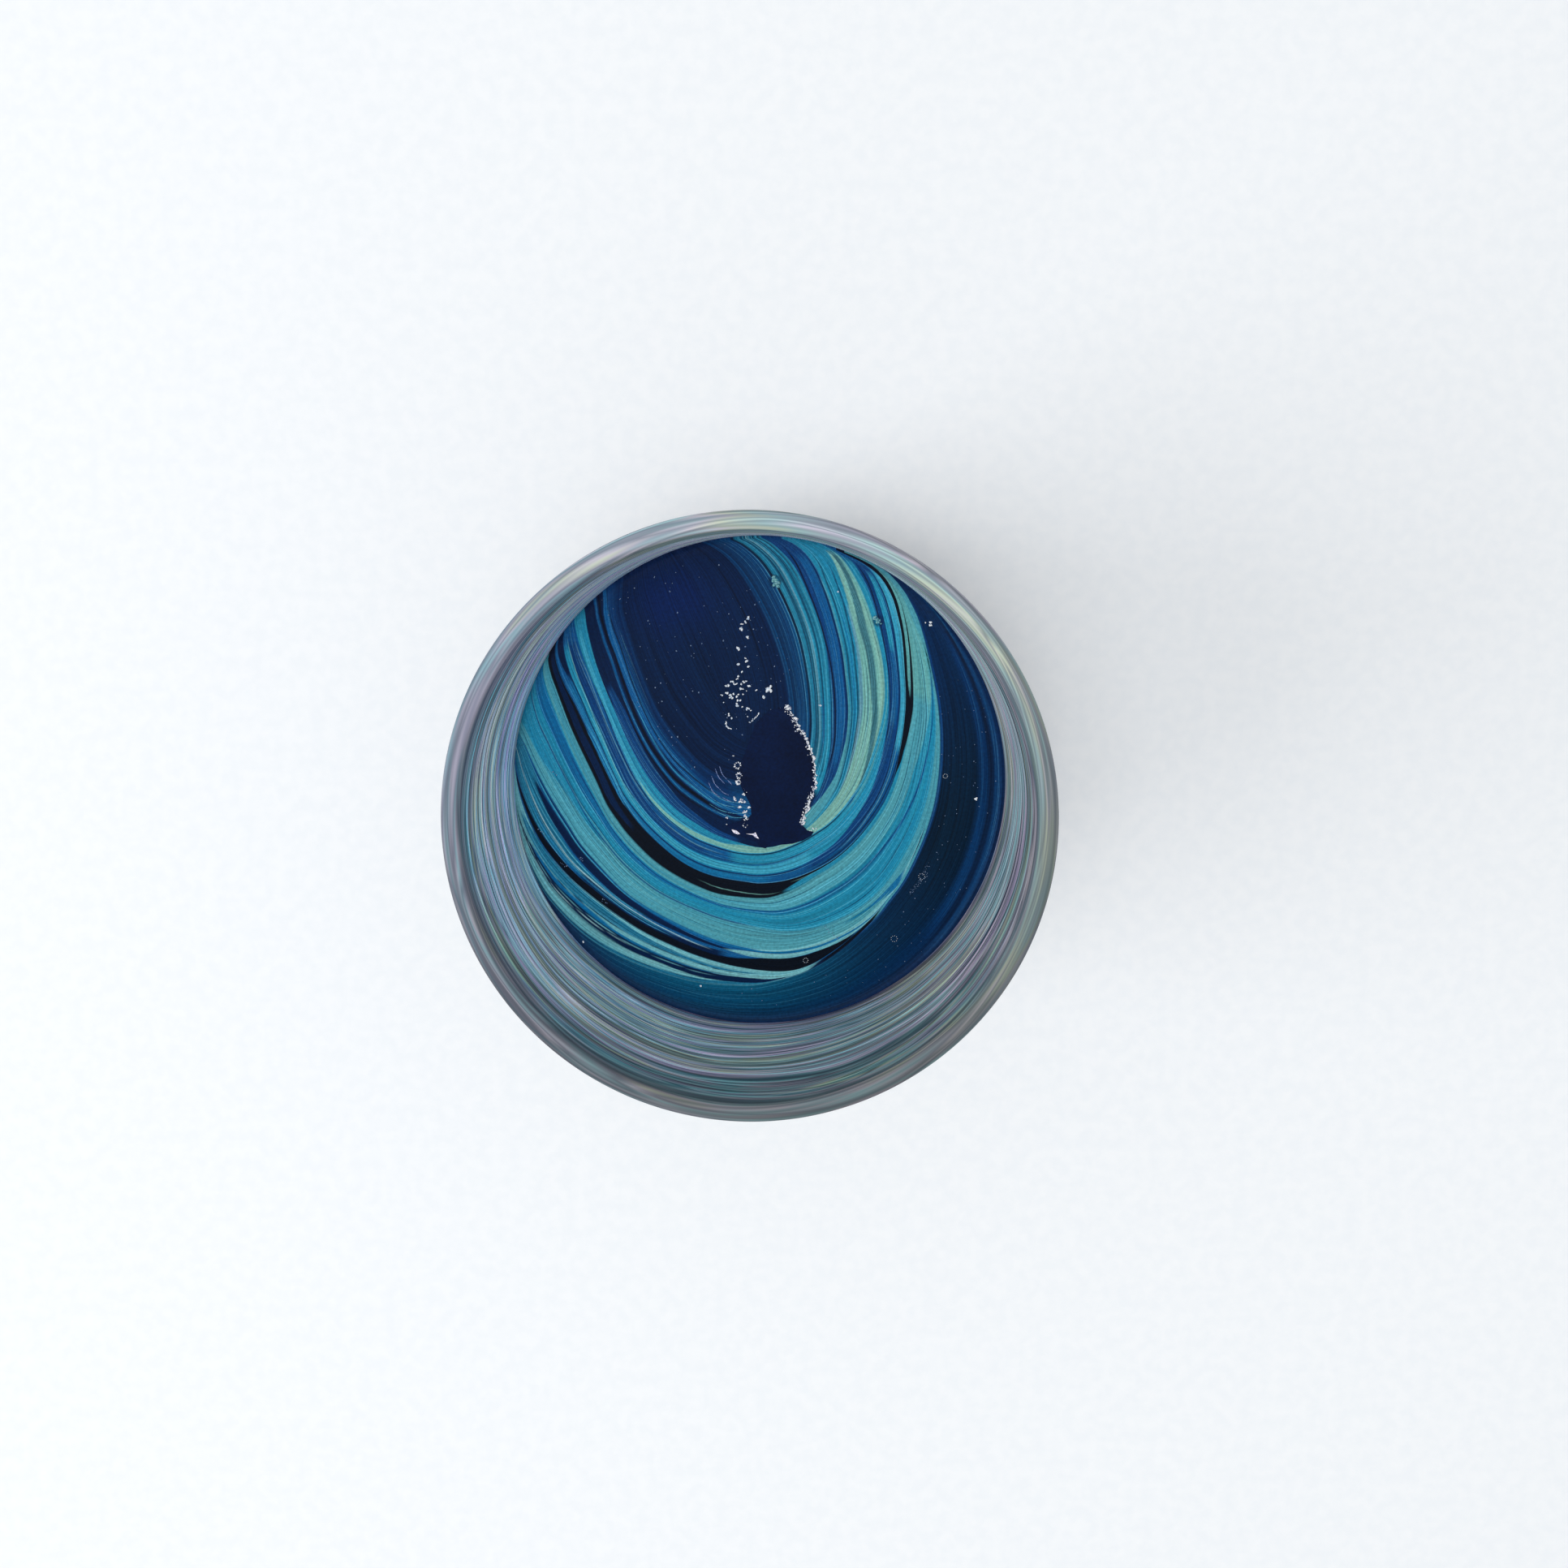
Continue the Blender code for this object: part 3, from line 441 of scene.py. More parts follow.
# Torn skin: the right edge downwards, the foot leftwards and the left edge upwards, in millimetres.
TORN_RIGHT = [
    (3.7, 10.4), (4.3, 9.6), (4.9, 8.5), (5.5, 7.4), (6.2, 6.4), (6.6, 5.4), (7.0, 4.6), (7.4, 3.2),
    (7.5, 2.0),
    (7.6, 0.9), (7.7, -0.1), (7.4, -1.2), (6.9, -2.2), (6.6, -3.3), (6.1, -4.6), (5.8, -5.2), (6.0, -5.9),
    (6.6, -6.5), (7.4, -6.8),
]
TORN_FOOT = [
    (7.1, -7.3), (6.0, -7.9), (4.6, -8.3), (3.0, -8.5), (1.3, -8.6), (0.8, -9.1), (0.2, -8.8), (-0.6, -8.1),
    (-1.5, -7.8), (-2.6, -7.3), (-3.7, -6.5), (-4.5, -5.8),
]
TORN_LEFT = [
    (-3.0, -5.4), (-1.5, -4.8), (-1.0, -4.3), (-1.2, -3.0), (-1.6, -2.2), (-2.2, -1.0), (-2.6, 0.0),
    (-2.4, 1.0),
    (-2.6, 2.4),
]
POOL_MIDDLE = [(-2.0, 4.0), (-0.5, 8.0), (1.5, 10.0)]
# Short strands beside the right edge: (its line, how many beads, their spread, smallest, largest).
RIGHT_STRANDS = [
    ([(3.5, 10.2), (4.2, 10.3)], 20, 0.18, 0.08, 0.17),
    ([(7.0, -0.1), (6.4, -0.2)], 9, 0.08, 0.06, 0.11),
    ([(6.9, -1.5), (6.1, -1.8)], 9, 0.08, 0.06, 0.11),
    ([(7.0, -6.6), (7.9, -6.3)], 10, 0.10, 0.06, 0.10),
]
# On the left edge and the surface: rings as (x, y, radius), and bits and bubbles as (x, y, size).
LEFT_RINGS = [(-2.9, 2.4, 0.42), (-2.7, 1.0, 0.36), (-2.8, 0.1, 0.28), (-1.9, -5.8, 0.30)]
LEFT_BITS = [
    (-1.9, -1.4, 0.30), (-1.9, -1.0, 0.18), (-3.3, -2.3, 0.24), (-2.5, -2.4, 0.34), (-2.0, -2.6, 0.22),
    (-2.7, -3.4, 0.22), (-1.4, -3.4, 0.20), (-2.0, -3.9, 0.26), (-1.8, -4.9, 0.28), (-2.0, -4.5, 0.16),
    (-4.4, -4.8, 0.16), (-4.4, -5.8, 0.15), (-3.8, -6.2, 0.14), (-2.2, 2.9, 0.10), (-3.5, 3.7, 0.12),
    (-2.3, -0.5, 0.12), (-1.6, -6.6, 0.10),
]
TORN_FLAPS = [
    [(-3.8, -6.4), (-3.1, -6.55), (-2.6, -7.0), (-2.9, -7.1), (-3.5, -6.85)],
    [(-1.8, -7.0), (-0.9, -7.0), (-0.5, -6.8), (-0.3, -7.2), (0.0, -7.7), (-0.5, -7.5), (-0.9, -7.15)],
]
BUBBLES = [
    (-1.5, 22.5, 0.24), (-1.8, 21.9, 0.18), (-2.5, 21.0, 0.28), (-2.3, 21.6, 0.14), (-1.5, 19.9, 0.22),
    (-2.7, 18.2, 0.26), (-1.8, 17.0, 0.12), (-1.7, 16.6, 0.22), (-2.8, 16.2, 0.22), (-1.4, 15.9, 0.18),
    (-4.5, 13.2, 0.16), (-4.1, 13.3, 0.20), (-3.6, 13.8, 0.22), (-3.4, 13.5, 0.16), (-3.0, 13.5, 0.18),
    (-2.8, 14.5, 0.18), (-2.9, 14.2, 0.14), (-2.3, 15.2, 0.14), (-2.0, 13.8, 0.20), (-1.7, 13.9, 0.14),
    (-2.4, 13.5, 0.16), (-2.5, 12.9, 0.22), (-2.3, 12.8, 0.14), (-1.4, 13.2, 0.20), (-1.7, 12.6, 0.10),
    (-4.3, 12.3, 0.20), (-5.0, 12.0, 0.16), (-3.8, 11.8, 0.24), (-3.5, 12.2, 0.16), (-3.6, 11.6, 0.20),
    (-3.0, 11.8, 0.18), (-2.7, 12.1, 0.14), (-2.2, 12.1, 0.14), (-2.8, 11.3, 0.24), (-3.0, 10.8, 0.20),
    (-2.9, 10.5, 0.22), (-2.2, 10.4, 0.12), (-1.6, 10.2, 0.20), (-1.3, 10.2, 0.14), (-1.1, 9.9, 0.12),
    (-4.8, 11.0, 0.10), (-0.3, 12.7, 0.14), (0.7, 11.7, 0.22), (-4.0, 9.3, 0.20), (-3.7, 8.9, 0.16),
    (-1.5, 9.1, 0.14), (1.4, 12.8, 0.42), (1.1, 12.6, 0.26), (1.6, 13.1, 0.24), (8.3, 10.6, 0.16),
    (23.2, 21.9, 0.22), (23.1, 21.5, 0.20), (22.5, 21.8, 0.12), (-24.4, -22.3, 0.20), (-8.2, -28.3, 0.18),
    (29.6, -2.1, 0.22), (2.1, 6.3, 0.14), (10.7, 26.0, 0.14),
]
LONG_BUBBLES = [
    [(-4.5, 8.4), (-4.4, 7.9), (-4.1, 7.5), (-3.7, 7.4)],
    [(-1.25, 8.3), (-0.7, 8.8), (-0.2, 9.2), (0.0, 9.6)],
]
LUMPS = [(2.2, 27.4, 0.45), (16.1, 22.1, 0.38)]
RINGS = [(18.6, -21.6, 0.42), (25.4, 1.0, 0.30), (6.4, -24.7, 0.34), (22.3, -12.9, 0.42)]
SMEARS = [
    [(-6.0, 2.0), (-5.5, 0.8), (-4.7, -0.1)],
    [(-5.4, 2.3), (-5.0, 1.2), (-4.3, 0.4)],
    [(-6.5, 1.0), (-6.0, -0.2), (-5.2, -1.0)],
    [(-4.4, 0.5), (-4.0, 0.1), (-3.7, -0.3)],
    [(-5.6, -0.6), (-4.9, -1.3), (-4.1, -1.7)],
    [(-6.9, 0.1), (-6.3, -1.2), (-5.3, -2.0)],
    [(-5.0, -2.0), (-4.3, -2.4), (-3.6, -2.6)],
]
FRINGE_THREADS = [
    [(-6.6, -1.2), (-5.0, -2.3), (-3.2, -2.7), (-1.6, -2.6)],
    [(-6.8, -1.9), (-5.2, -2.9), (-3.4, -3.3), (-1.5, -3.3)],
    [(-6.8, -2.9), (-5.2, -3.8), (-3.4, -4.2), (-1.4, -4.2)],
    [(-6.4, -3.7), (-4.6, -4.5), (-3.0, -4.8), (-1.3, -4.7)],
]
SCRATCHES = [
    [(20.6, -15.1), (21.6, -13.8), (22.5, -12.6), (23.4, -11.2)],
    [(20.9, -15.4), (21.9, -14.2), (23.0, -12.6)],
    [(8.8, -19.9), (10.0, -20.9), (11.2, -22.0)],
]
SMUDGES = [(-21.3, -16.4), (-27.0, -11.4), (-29.8, -6.9), (-24.6, -10.6), (-28.2, 1.3)]
RIM_BITS = [-78.4, 3.0, 86.0, 179.3, 200.0, -40.0]

# Beads, threads, crumbs on the rim (their scatter is in radians) and specks.
BEAD_ROUGHNESS = (0.75, 1.15)
RING_BEADS = 9
THREAD_POINTS = 24
CRUMBS_EACH = 4
CRUMB_SIZE_MM = (0.10, 0.20)
CRUMB_INSET_MM = (0.45, 0.65)
CRUMB_SCATTER = 0.008
CRUMB_DROP = 0.25 * MM
SPECK_SIZE_MM = (0.035, 0.09)
POOL_SPECKS = 240
ALL_SPECKS = 330

FLOOR_LIGHT = (246, 248, 250)
FLOOR_DARK = (242, 245, 248)
FLOOR_WIDTH = 6.0
FLOOR_GAP = 0.02 * MM
SKY_COLOUR = (0.955, 0.98, 1.0, 1.0)
SKY_STRENGTH = 0.47
LAMPS_AIM = (0, 0, 0.03)

# Each lamp is (name, where it is, its width, its power in watts).
LAMPS = [
    ("window", (-1.2, -0.26, 0.75), 0.9, 8.0),
    ("ceiling", (-0.10, 0.0, 1.5), 0.6, 9.5),
]

# The camera looks almost straight down, from a little behind the jar's middle.
CAMERA_PLACE = (0.00795, 0.03081, 0.29864)
CAMERA_AIM = (-0.01846, -0.12584, -1.0)
CAMERA_LENS = 41.69
CAMERA_NEAR = 0.01
SENSOR_WIDTH = 36.0


def linear(seen):
    """A colour seen in sRGB, 0 to 255, as linear light."""
    share = np.asarray(seen, float) / 255
    return np.where(share <= 0.04045, share / 12.92, ((share + 0.055) / 1.055) ** 2.4)


def smooth_line(points, count):
    """Evenly spaced points along the smooth curve through the given ones."""
    own = np.asarray(points, float)
    ends = np.vstack([2 * own[0] - own[1], own, 2 * own[-1] - own[-2]])
    t = (np.arange(LINE_STEPS) / LINE_STEPS)[:, None]
    parts = []
    for before, start, end, after in zip(ends, ends[1:], ends[2:], ends[3:]):
        bend = 2 * before - 5 * start + 4 * end - after
        twist = 3 * start - before - 3 * end + after
        parts.append(0.5 * (2 * start + (end - before) * t + bend * t**2 + twist * t**3))
    fine = np.vstack([*parts, own[-1:]])
    reached = np.concatenate([[0.0], np.cumsum(np.linalg.norm(np.diff(fine, axis=0), axis=1))])
    wanted = np.linspace(0.0, reached[-1], count)
    return np.stack([np.interp(wanted, reached, fine[:, i]) for i in range(2)], axis=1)


def placed(name, data, finish):
    """An object in the scene from its mesh or curve, with its one material."""
    data.materials.append(finish)
    made = bpy.data.objects.new(name, data)
    bpy.context.scene.collection.objects.link(made)
    return made


def from_bmesh(name, shape, finish):
    """An object from a bmesh, which is freed."""
    mesh = bpy.data.meshes.new(name)
    shape.to_mesh(mesh)
    shape.free()
    return placed(name, mesh, finish)


def mesh_object(name, vertices, faces, finish, smooth=True):
    mesh = bpy.data.meshes.new(name)
    mesh.from_pydata([tuple(v) for v in vertices], [], [tuple(f) for f in faces])
    mesh.update()
    if smooth:
        mesh.shade_smooth()
    return placed(name, mesh, finish)


def set_colours(made, name, colours):
    """A colour at each vertex, in linear light."""
    attribute = made.data.attributes.new(name, "FLOAT_COLOR", "POINT")
    full = np.ones((len(colours), 4), np.float32)
    full[:, :3] = colours
    attribute.data.foreach_set("color", full.ravel())


def set_vectors(made, name, vectors):
    attribute = made.data.attributes.new(name, "FLOAT_VECTOR", "POINT")
    attribute.data.foreach_set("vector", np.asarray(vectors, np.float32).ravel())


class Nodes:
    """Short calls for building one material's nodes."""

    def __init__(self, name):
        self.made = bpy.data.materials.new(name)
        self.made.use_nodes = True
        self.tree = self.made.node_tree
        self.shader = self.tree.nodes["Principled BSDF"]
        self.output = self.tree.nodes["Material Output"]

    def add(self, kind, inputs=None, **settings):
        node = self.tree.nodes.new(kind)
        for key, value in settings.items():
            setattr(node, key, value)
        for key, value in (inputs or {}).items():
            self.put(value, node.inputs[key])
        return node

    def put(self, value, socket):
        if isinstance(value, bpy.types.NodeSocket):
            self.tree.links.new(value, socket)
        else:
            socket.default_value = value

    def set(self, **inputs):
        for key, value in inputs.items():
            self.put(value, self.shader.inputs[key.replace("_", " ")])

    def maths(self, operation, a, b=0.0, clamp=False):
        return self.add("ShaderNodeMath", {0: a, 1: b}, operation=operation, use_clamp=clamp).outputs[0]

    def scaled(self, vector, scale):
        return self.add("ShaderNodeVectorMath", {0: vector, 1: scale}, operation="MULTIPLY").outputs[0]

    def attribute(self, name, output="Color"):
        return self.add("ShaderNodeAttribute", attribute_name=name).outputs[output]

    def place(self):
        return self.add("ShaderNodeTexCoord").outputs["Object"]

    def noise(self, vector, scale=1.0, detail=3.0, roughness=0.5):
        inputs = {"Vector": vector, "Scale": scale, "Detail": detail, "Roughness": roughness}
        return self.add("ShaderNodeTexNoise", inputs).outputs["Fac"]

    def spread(self, value, low, high, out_low=0.0, out_high=1.0):
        inputs = {"Value": value, "From Min": low, "From Max": high, "To Min": out_low, "To Max": out_high}
        return self.add("ShaderNodeMapRange", inputs).outputs["Result"]

    def mix(self, share, first, second, blend="MIX"):
        node = self.add("ShaderNodeMix", data_type="RGBA", blend_type=blend)
        for key, value in ((0, share), (6, first), (7, second)):
            if isinstance(value, tuple):
                value = (*value, 1.0)
            self.put(value, node.inputs[key])
        return node.outputs[2]

    def grey(self, value):
        return self.add("ShaderNodeCombineXYZ", {0: value, 1: value, 2: value}).outputs[0]

    def ramp(self, value, *stops):
        node = self.add("ShaderNodeValToRGB", {"Fac": value})
        elements = node.color_ramp.elements
        while len(elements) < len(stops):
            elements.new(0.5)
        for element, (position, colour) in zip(elements, stops):
            element.position = position
            element.color = (*linear(colour), 1.0)
        return node.outputs["Color"]

    def bump(self, height, strength, distance):
        inputs = {"Height": height, "Strength": strength, "Distance": distance}
        return self.add("ShaderNodeBump", inputs).outputs["Normal"]

    def lets_lamps_through(self, surface, share_clear=1.0):
        """Shadow rays pass the surface, so what is inside is lit."""
        clear = self.add("ShaderNodeBsdfTransparent").outputs[0]
        path = self.add("ShaderNodeLightPath").outputs["Is Shadow Ray"]
        if share_clear < 1.0:
            path = self.maths("MULTIPLY", path, share_clear)
        mixed = self.add("ShaderNodeMixShader", {0: path, 1: surface, 2: clear})
        self.put(mixed.outputs[0], self.output.inputs["Surface"])


# ---------------------------------------------------------------- materials


def glass_material():
    nodes = Nodes("clear_glass")
    waves = nodes.noise(nodes.place(), scale=60.0, detail=2.0)
    smears = nodes.noise(nodes.scaled(nodes.place(), (1.0, 1.0, 0.3)), scale=240.0, detail=4.0)
    nodes.set(Base_Color=(0.90, 0.95, 0.96, 1.0), Transmission_Weight=1.0, IOR=1.45)
    nodes.set(Roughness=nodes.spread(smears, 0.45, 0.75, 0.01, 0.06))
    nodes.set(Normal=nodes.bump(waves, 0.15, 0.0004))
    nodes.lets_lamps_through(nodes.shader.outputs[0])
    return nodes.made


def surface_material():
    """Liquid paint: the painted colours, drawn out into finer streaks along the flow."""
    nodes = Nodes("marbled_paint")
    flow = nodes.attribute("flow", "Vector")
    colour = nodes.attribute("paint")
    broad = nodes.noise(nodes.scaled(flow, (0.03, 5.0, 1.0)), detail=3.0, roughness=0.5)
    fine = nodes.noise(nodes.scaled(flow, (0.03, 20.0, 1.0)), detail=4.0, roughness=0.65)
    threads = nodes.noise(nodes.scaled(flow, (0.025, 55.0, 1.0)), detail=3.0, roughness=0.6)
    grain = nodes.noise(nodes.place(), scale=GRAIN_SCALE, detail=2.0)
    bluer = nodes.mix(1.0, colour, (0.34, 0.80, 0.98), "MULTIPLY")
    colour = nodes.mix(nodes.spread(broad, 0.40, 0.62, 0.0, 0.45), colour, bluer)
    darker = nodes.spread(fine, 0.36, 0.50, 0.70, 1.0)
    lighter = nodes.spread(threads, 0.35, 0.65, 0.72, 1.36)
    speckle = nodes.spread(grain, 0.3, 0.7, 0.84, 1.18)
    blue = nodes.add("ShaderNodeSeparateColor", {0: colour}).outputs[2]
    lively = nodes.spread(blue, 0.09, 0.22)
    bright = nodes.maths("MULTIPLY", nodes.spread(threads, 0.58, 0.66, 0.0, 0.55), lively)
    dark = nodes.maths("MULTIPLY", nodes.spread(fine, 0.34, 0.42, 0.75, 0.0), lively)
    colour = nodes.mix(bright, colour, (0.16, 0.50, 0.60))
    colour = nodes.mix(dark, colour, (0.004, 0.05, 0.14))
    value = nodes.maths("MULTIPLY", nodes.maths("MULTIPLY", darker, lighter), speckle)
    colour = nodes.mix(1.0, colour, nodes.grey(value), "MULTIPLY")
    nodes.set(Base_Color=colour, Roughness=PAINT_ROUGHNESS, Specular_IOR_Level=PAINT_GLOSS)
    nodes.set(Normal=nodes.bump(fine, 0.10, 0.0001))
    return nodes.made


def pool_material():
    """Dark navy paint with a faint cloudy variation."""
    nodes = Nodes("navy_paint")
    cloud = nodes.noise(nodes.place(), scale=180.0, detail=3.0)
    grain = nodes.noise(nodes.place(), scale=GRAIN_SCALE, detail=2.0)
    colour = nodes.ramp(cloud, (0.3, (3, 17, 46)), (0.7, (4, 25, 62)))
    shade = nodes.grey(nodes.spread(grain, 0.3, 0.7, 0.8, 1.2))
    colour = nodes.mix(1.0, colour, shade, "MULTIPLY")
    nodes.set(Base_Color=colour, Roughness=PAINT_ROUGHNESS, Specular_IOR_Level=PAINT_GLOSS)
    return nodes.made


def body_material():
    """The side of the paint seen through the glass, marbled in drawn-out sheets below its surface."""
    nodes = Nodes("deep_blue_paint")
    drift = nodes.noise(nodes.place(), scale=28.0, detail=3.0)
    height = nodes.add("ShaderNodeSeparateXYZ", {0: nodes.place()}).outputs[2]
    bent = nodes.add("ShaderNodeCombineXYZ", {2: nodes.maths("MULTIPLY", drift, 0.02)}).outputs[0]
    moved = nodes.add("ShaderNodeVectorMath", {0: nodes.place(), 1: bent}, operation="ADD").outputs[0]
    sheets = nodes.noise(nodes.scaled(moved, (22.0, 22.0, 330.0)), detail=5.0, roughness=0.6)
    colour = nodes.ramp(
        sheets, (0.30, (8, 26, 58)), (0.44, (6, 50, 100)), (0.52, (14, 92, 142)), (0.58, (70, 150, 166)),
        (0.64, (10, 60, 112)), (0.74, (9, 30, 66)),
    )
    low = nodes.spread(height, 0.012, 0.05, 0.0, 1.0)
    deep = nodes.ramp(drift, (0.35, (6, 26, 60)), (0.65, (8, 46, 92)))
    nodes.set(Base_Color=nodes.mix(low, deep, colour), Roughness=0.3)
    return nodes.made


def film_material():
    """Thin dried paint wiped round the glass in many streaks that drift slowly up and down."""
    nodes = Nodes("thin_paint_film")
    round_glass = nodes.attribute("flow", "Vector")
    drift = nodes.noise(nodes.scaled(round_glass, (0.018, 0.018, 0.03)), detail=2.0, roughness=0.5)
    up_glass = nodes.add("ShaderNodeSeparateXYZ", {0: round_glass}).outputs[2]
    on_wall = nodes.spread(up_glass, 26.0, 37.0, 10.0, 1.5)
    lift = nodes.add("ShaderNodeCombineXYZ", {2: nodes.maths("MULTIPLY", drift, on_wall)}).outputs[0]
    moved = nodes.add("ShaderNodeVectorMath", {0: round_glass, 1: lift}, operation="ADD").outputs[0]
    hue = nodes.noise(nodes.scaled(moved, (0.015, 0.015, 0.24)), detail=3.0, roughness=0.6)
    tone = nodes.noise(nodes.scaled(moved, (0.018, 0.018, 0.50)), detail=2.0, roughness=0.6)
    fine = nodes.noise(nodes.scaled(moved, (0.02, 0.02, 1.3)), detail=2.0, roughness=0.6)
    colour = nodes.ramp(
        hue,
        (0.34, (190, 172, 204)), (0.41, (204, 192, 208)), (0.455, (150, 202, 210)), (0.50, (206, 194, 210)),
        (0.535, (200, 206, 180)), (0.58, (164, 202, 208)), (0.64, (198, 184, 210)), (0.70, (204, 188, 202)),
    )
    bands = nodes.ramp(
        tone,
        (0.30, (96, 100, 122)), (0.38, (232, 234, 238)), (0.43, (140, 146, 160)), (0.475, (255, 255, 255)),
        (0.51, (142, 150, 162)), (0.55, (250, 255, 255)), (0.61, (146, 156, 168)), (0.70, (236, 238, 244)),
    )
    colour = nodes.mix(1.0, colour, bands, "MULTIPLY")
    value = nodes.grey(nodes.spread(fine, 0.38, 0.62, 0.48, 1.60))
    colour = nodes.mix(1.0, colour, value, "MULTIPLY")
    colour = nodes.mix(nodes.spread(up_glass, 34.6, 36.4, 0.0, 0.5), colour, (0.26, 0.31, 0.38))
    # The shade attribute multiplies in the film's painted light and shade.
    colour = nodes.mix(1.0, colour, nodes.attribute("shade"), "MULTIPLY")
    nodes.set(Base_Color=colour, Roughness=0.45, Specular_IOR_Level=0.2)
    nodes.set(Normal=nodes.bump(fine, 0.2, 0.0002))
    nodes.lets_lamps_through(nodes.shader.outputs[0], 0.75)
    return nodes.made


def skin_material(name, light, dark):
    """Crinkled dry paint skin, coloured by the noise that raises its crinkles: the light colour on the
    crinkles is partly painted highlight, and the dark colour in its folds is partly painted shade.
    """
    nodes = Nodes(name)
    folds = nodes.noise(nodes.place(), scale=5200.0, detail=3.0)
    nodes.set(Base_Color=nodes.ramp(folds, (0.38, dark), (0.52, light)), Roughness=0.25)
    nodes.set(Normal=nodes.bump(folds, 0.5, 0.0001))
    return nodes.made


def floor_material():
    nodes = Nodes("pale_floor")
    grain = nodes.noise(nodes.place(), scale=420.0, detail=3.0)
    nodes.set(Base_Color=nodes.ramp(grain, (0.35, FLOOR_DARK), (0.65, FLOOR_LIGHT)), Roughness=0.9)
    nodes.set(Specular_IOR_Level=0.1)
    return nodes.made


# ---------------------------------------------------------------- glass, film and body


def arc(centre_x, centre_z, radius, start, end, count):
    angles = np.radians(np.linspace(start, end, count))
    return [(centre_x + radius * math.cos(a), centre_z + radius * math.sin(a)) for a in angles]


def turned(name, profile, finish):
    """A solid of revolution from a profile that may start or end on the axis, or close on itself."""
    closed = profile[0][0] > 0.0
    vertices = []
    rings = []
    for radius, height in profile:
        if radius == 0.0:
            rings.append([len(vertices)] * TURNS)
            vertices.append((0.0, 0.0, height))
            continue
        rings.append(list(range(len(vertices), len(vertices) + TURNS)))
        for i in range(TURNS):
            a = math.tau * i / TURNS
            vertices.append((radius * math.cos(a), radius * math.sin(a), height))
    pairs = list(zip(rings, rings[1:]))
    if closed:
        pairs.append((rings[-1], rings[0]))
    faces = []
    for lower, upper in pairs:
        for i in range(TURNS):
            j = (i + 1) % TURNS
            faces.append(list(dict.fromkeys([lower[i], lower[j], upper[j], upper[i]])))
    made = mesh_object(name, vertices, faces, finish)
    shell = bmesh.new()
    shell.from_mesh(made.data)
    bmesh.ops.recalc_face_normals(shell, faces=shell.faces)
    shell.to_mesh(made.data)
    shell.free()
    return made


def glass_profile():
    """The wall, foot and lip. The lip stops short of the full height by the paint that coats it."""
    lip = LIP_RADIUS
    top = HEIGHT - COAT_THICKNESS
    foot = OUTER_RADIUS - HEEL_RADIUS - FOOT_RING_WIDTH
    corner = INNER_CORNER_RADIUS
    wall = [(INNER_RADIUS, z) for z in np.linspace(BASE_THICKNESS + corner, top - lip, WALL_STEPS)[1:-1]]
    return [
        (0.0, BASE_THICKNESS),
        *arc(INNER_RADIUS - corner, BASE_THICKNESS + corner, corner, -90, 0, CORNER_STEPS),
        *wall,
        *arc(INNER_RADIUS + lip, top - lip, lip, 180, 90, LIP_STEPS),
        *arc(OUTER_RADIUS - lip, top - lip, lip, 90, 0, LIP_STEPS),
        *[(OUTER_RADIUS, z) for z in np.linspace(top - lip, HEEL_RADIUS, WALL_STEPS)[1:-1]],
        *arc(OUTER_RADIUS - HEEL_RADIUS, HEEL_RADIUS, HEEL_RADIUS, 0, -90, CORNER_STEPS),
        (foot, 0.0),
        (foot - PUNT_SLOPE_WIDTH, PUNT_SLOPE_SHARE * PUNT_DEPTH),
        (foot * PUNT_FLAT_SHARE, PUNT_DEPTH),
        (0.0, PUNT_DEPTH),
    ]


def body_profile():
    """The paint below its surface, from the middle of its underside round and up to the glass."""
    radius = INNER_RADIUS + INTO_GLASS
    floor = BASE_THICKNESS - INTO_GLASS
    corner = INNER_CORNER_RADIUS
    side = [(radius, z) for z in np.linspace(floor + corner, PAINT_LEVEL - BODY_EDGE_GAP, BODY_STEPS)[1:]]
    return [
        (0.0, PAINT_LEVEL - BODY_DISH_DEPTH),
        (radius - BODY_DISH_MARGIN, PAINT_LEVEL - BODY_DISH_DEPTH),
        *side[::-1],
        *arc(radius - corner, floor + corner, corner, 0, -90, CORNER_STEPS),
        (0.0, floor),
    ]


def film_path():
    """Points up the inside of the glass and over its lip, each (radius, height, its outward normal)."""
    top = HEIGHT - COAT_THICKNESS
    low = PAINT_LEVEL - FILM_BELOW_LEVEL
    path = [(INNER_RADIUS, z, -1.0, 0.0) for z in np.linspace(low, top - LIP_RADIUS, FILM_STEPS)]
    inner_round = (INNER_RADIUS + LIP_RADIUS, np.linspace(180, 90, LIP_STEPS)[1:])
    outer_round = (OUTER_RADIUS - LIP_RADIUS, np.linspace(90, COAT_ENDS_AT, LIP_STEPS))
    for centre, angles in (inner_round, outer_round):
        for a in np.radians(angles):
            side, up = math.cos(a), math.sin(a)
            path.append((centre + LIP_RADIUS * side, top - LIP_RADIUS + LIP_RADIUS * up, side, up))
    return path


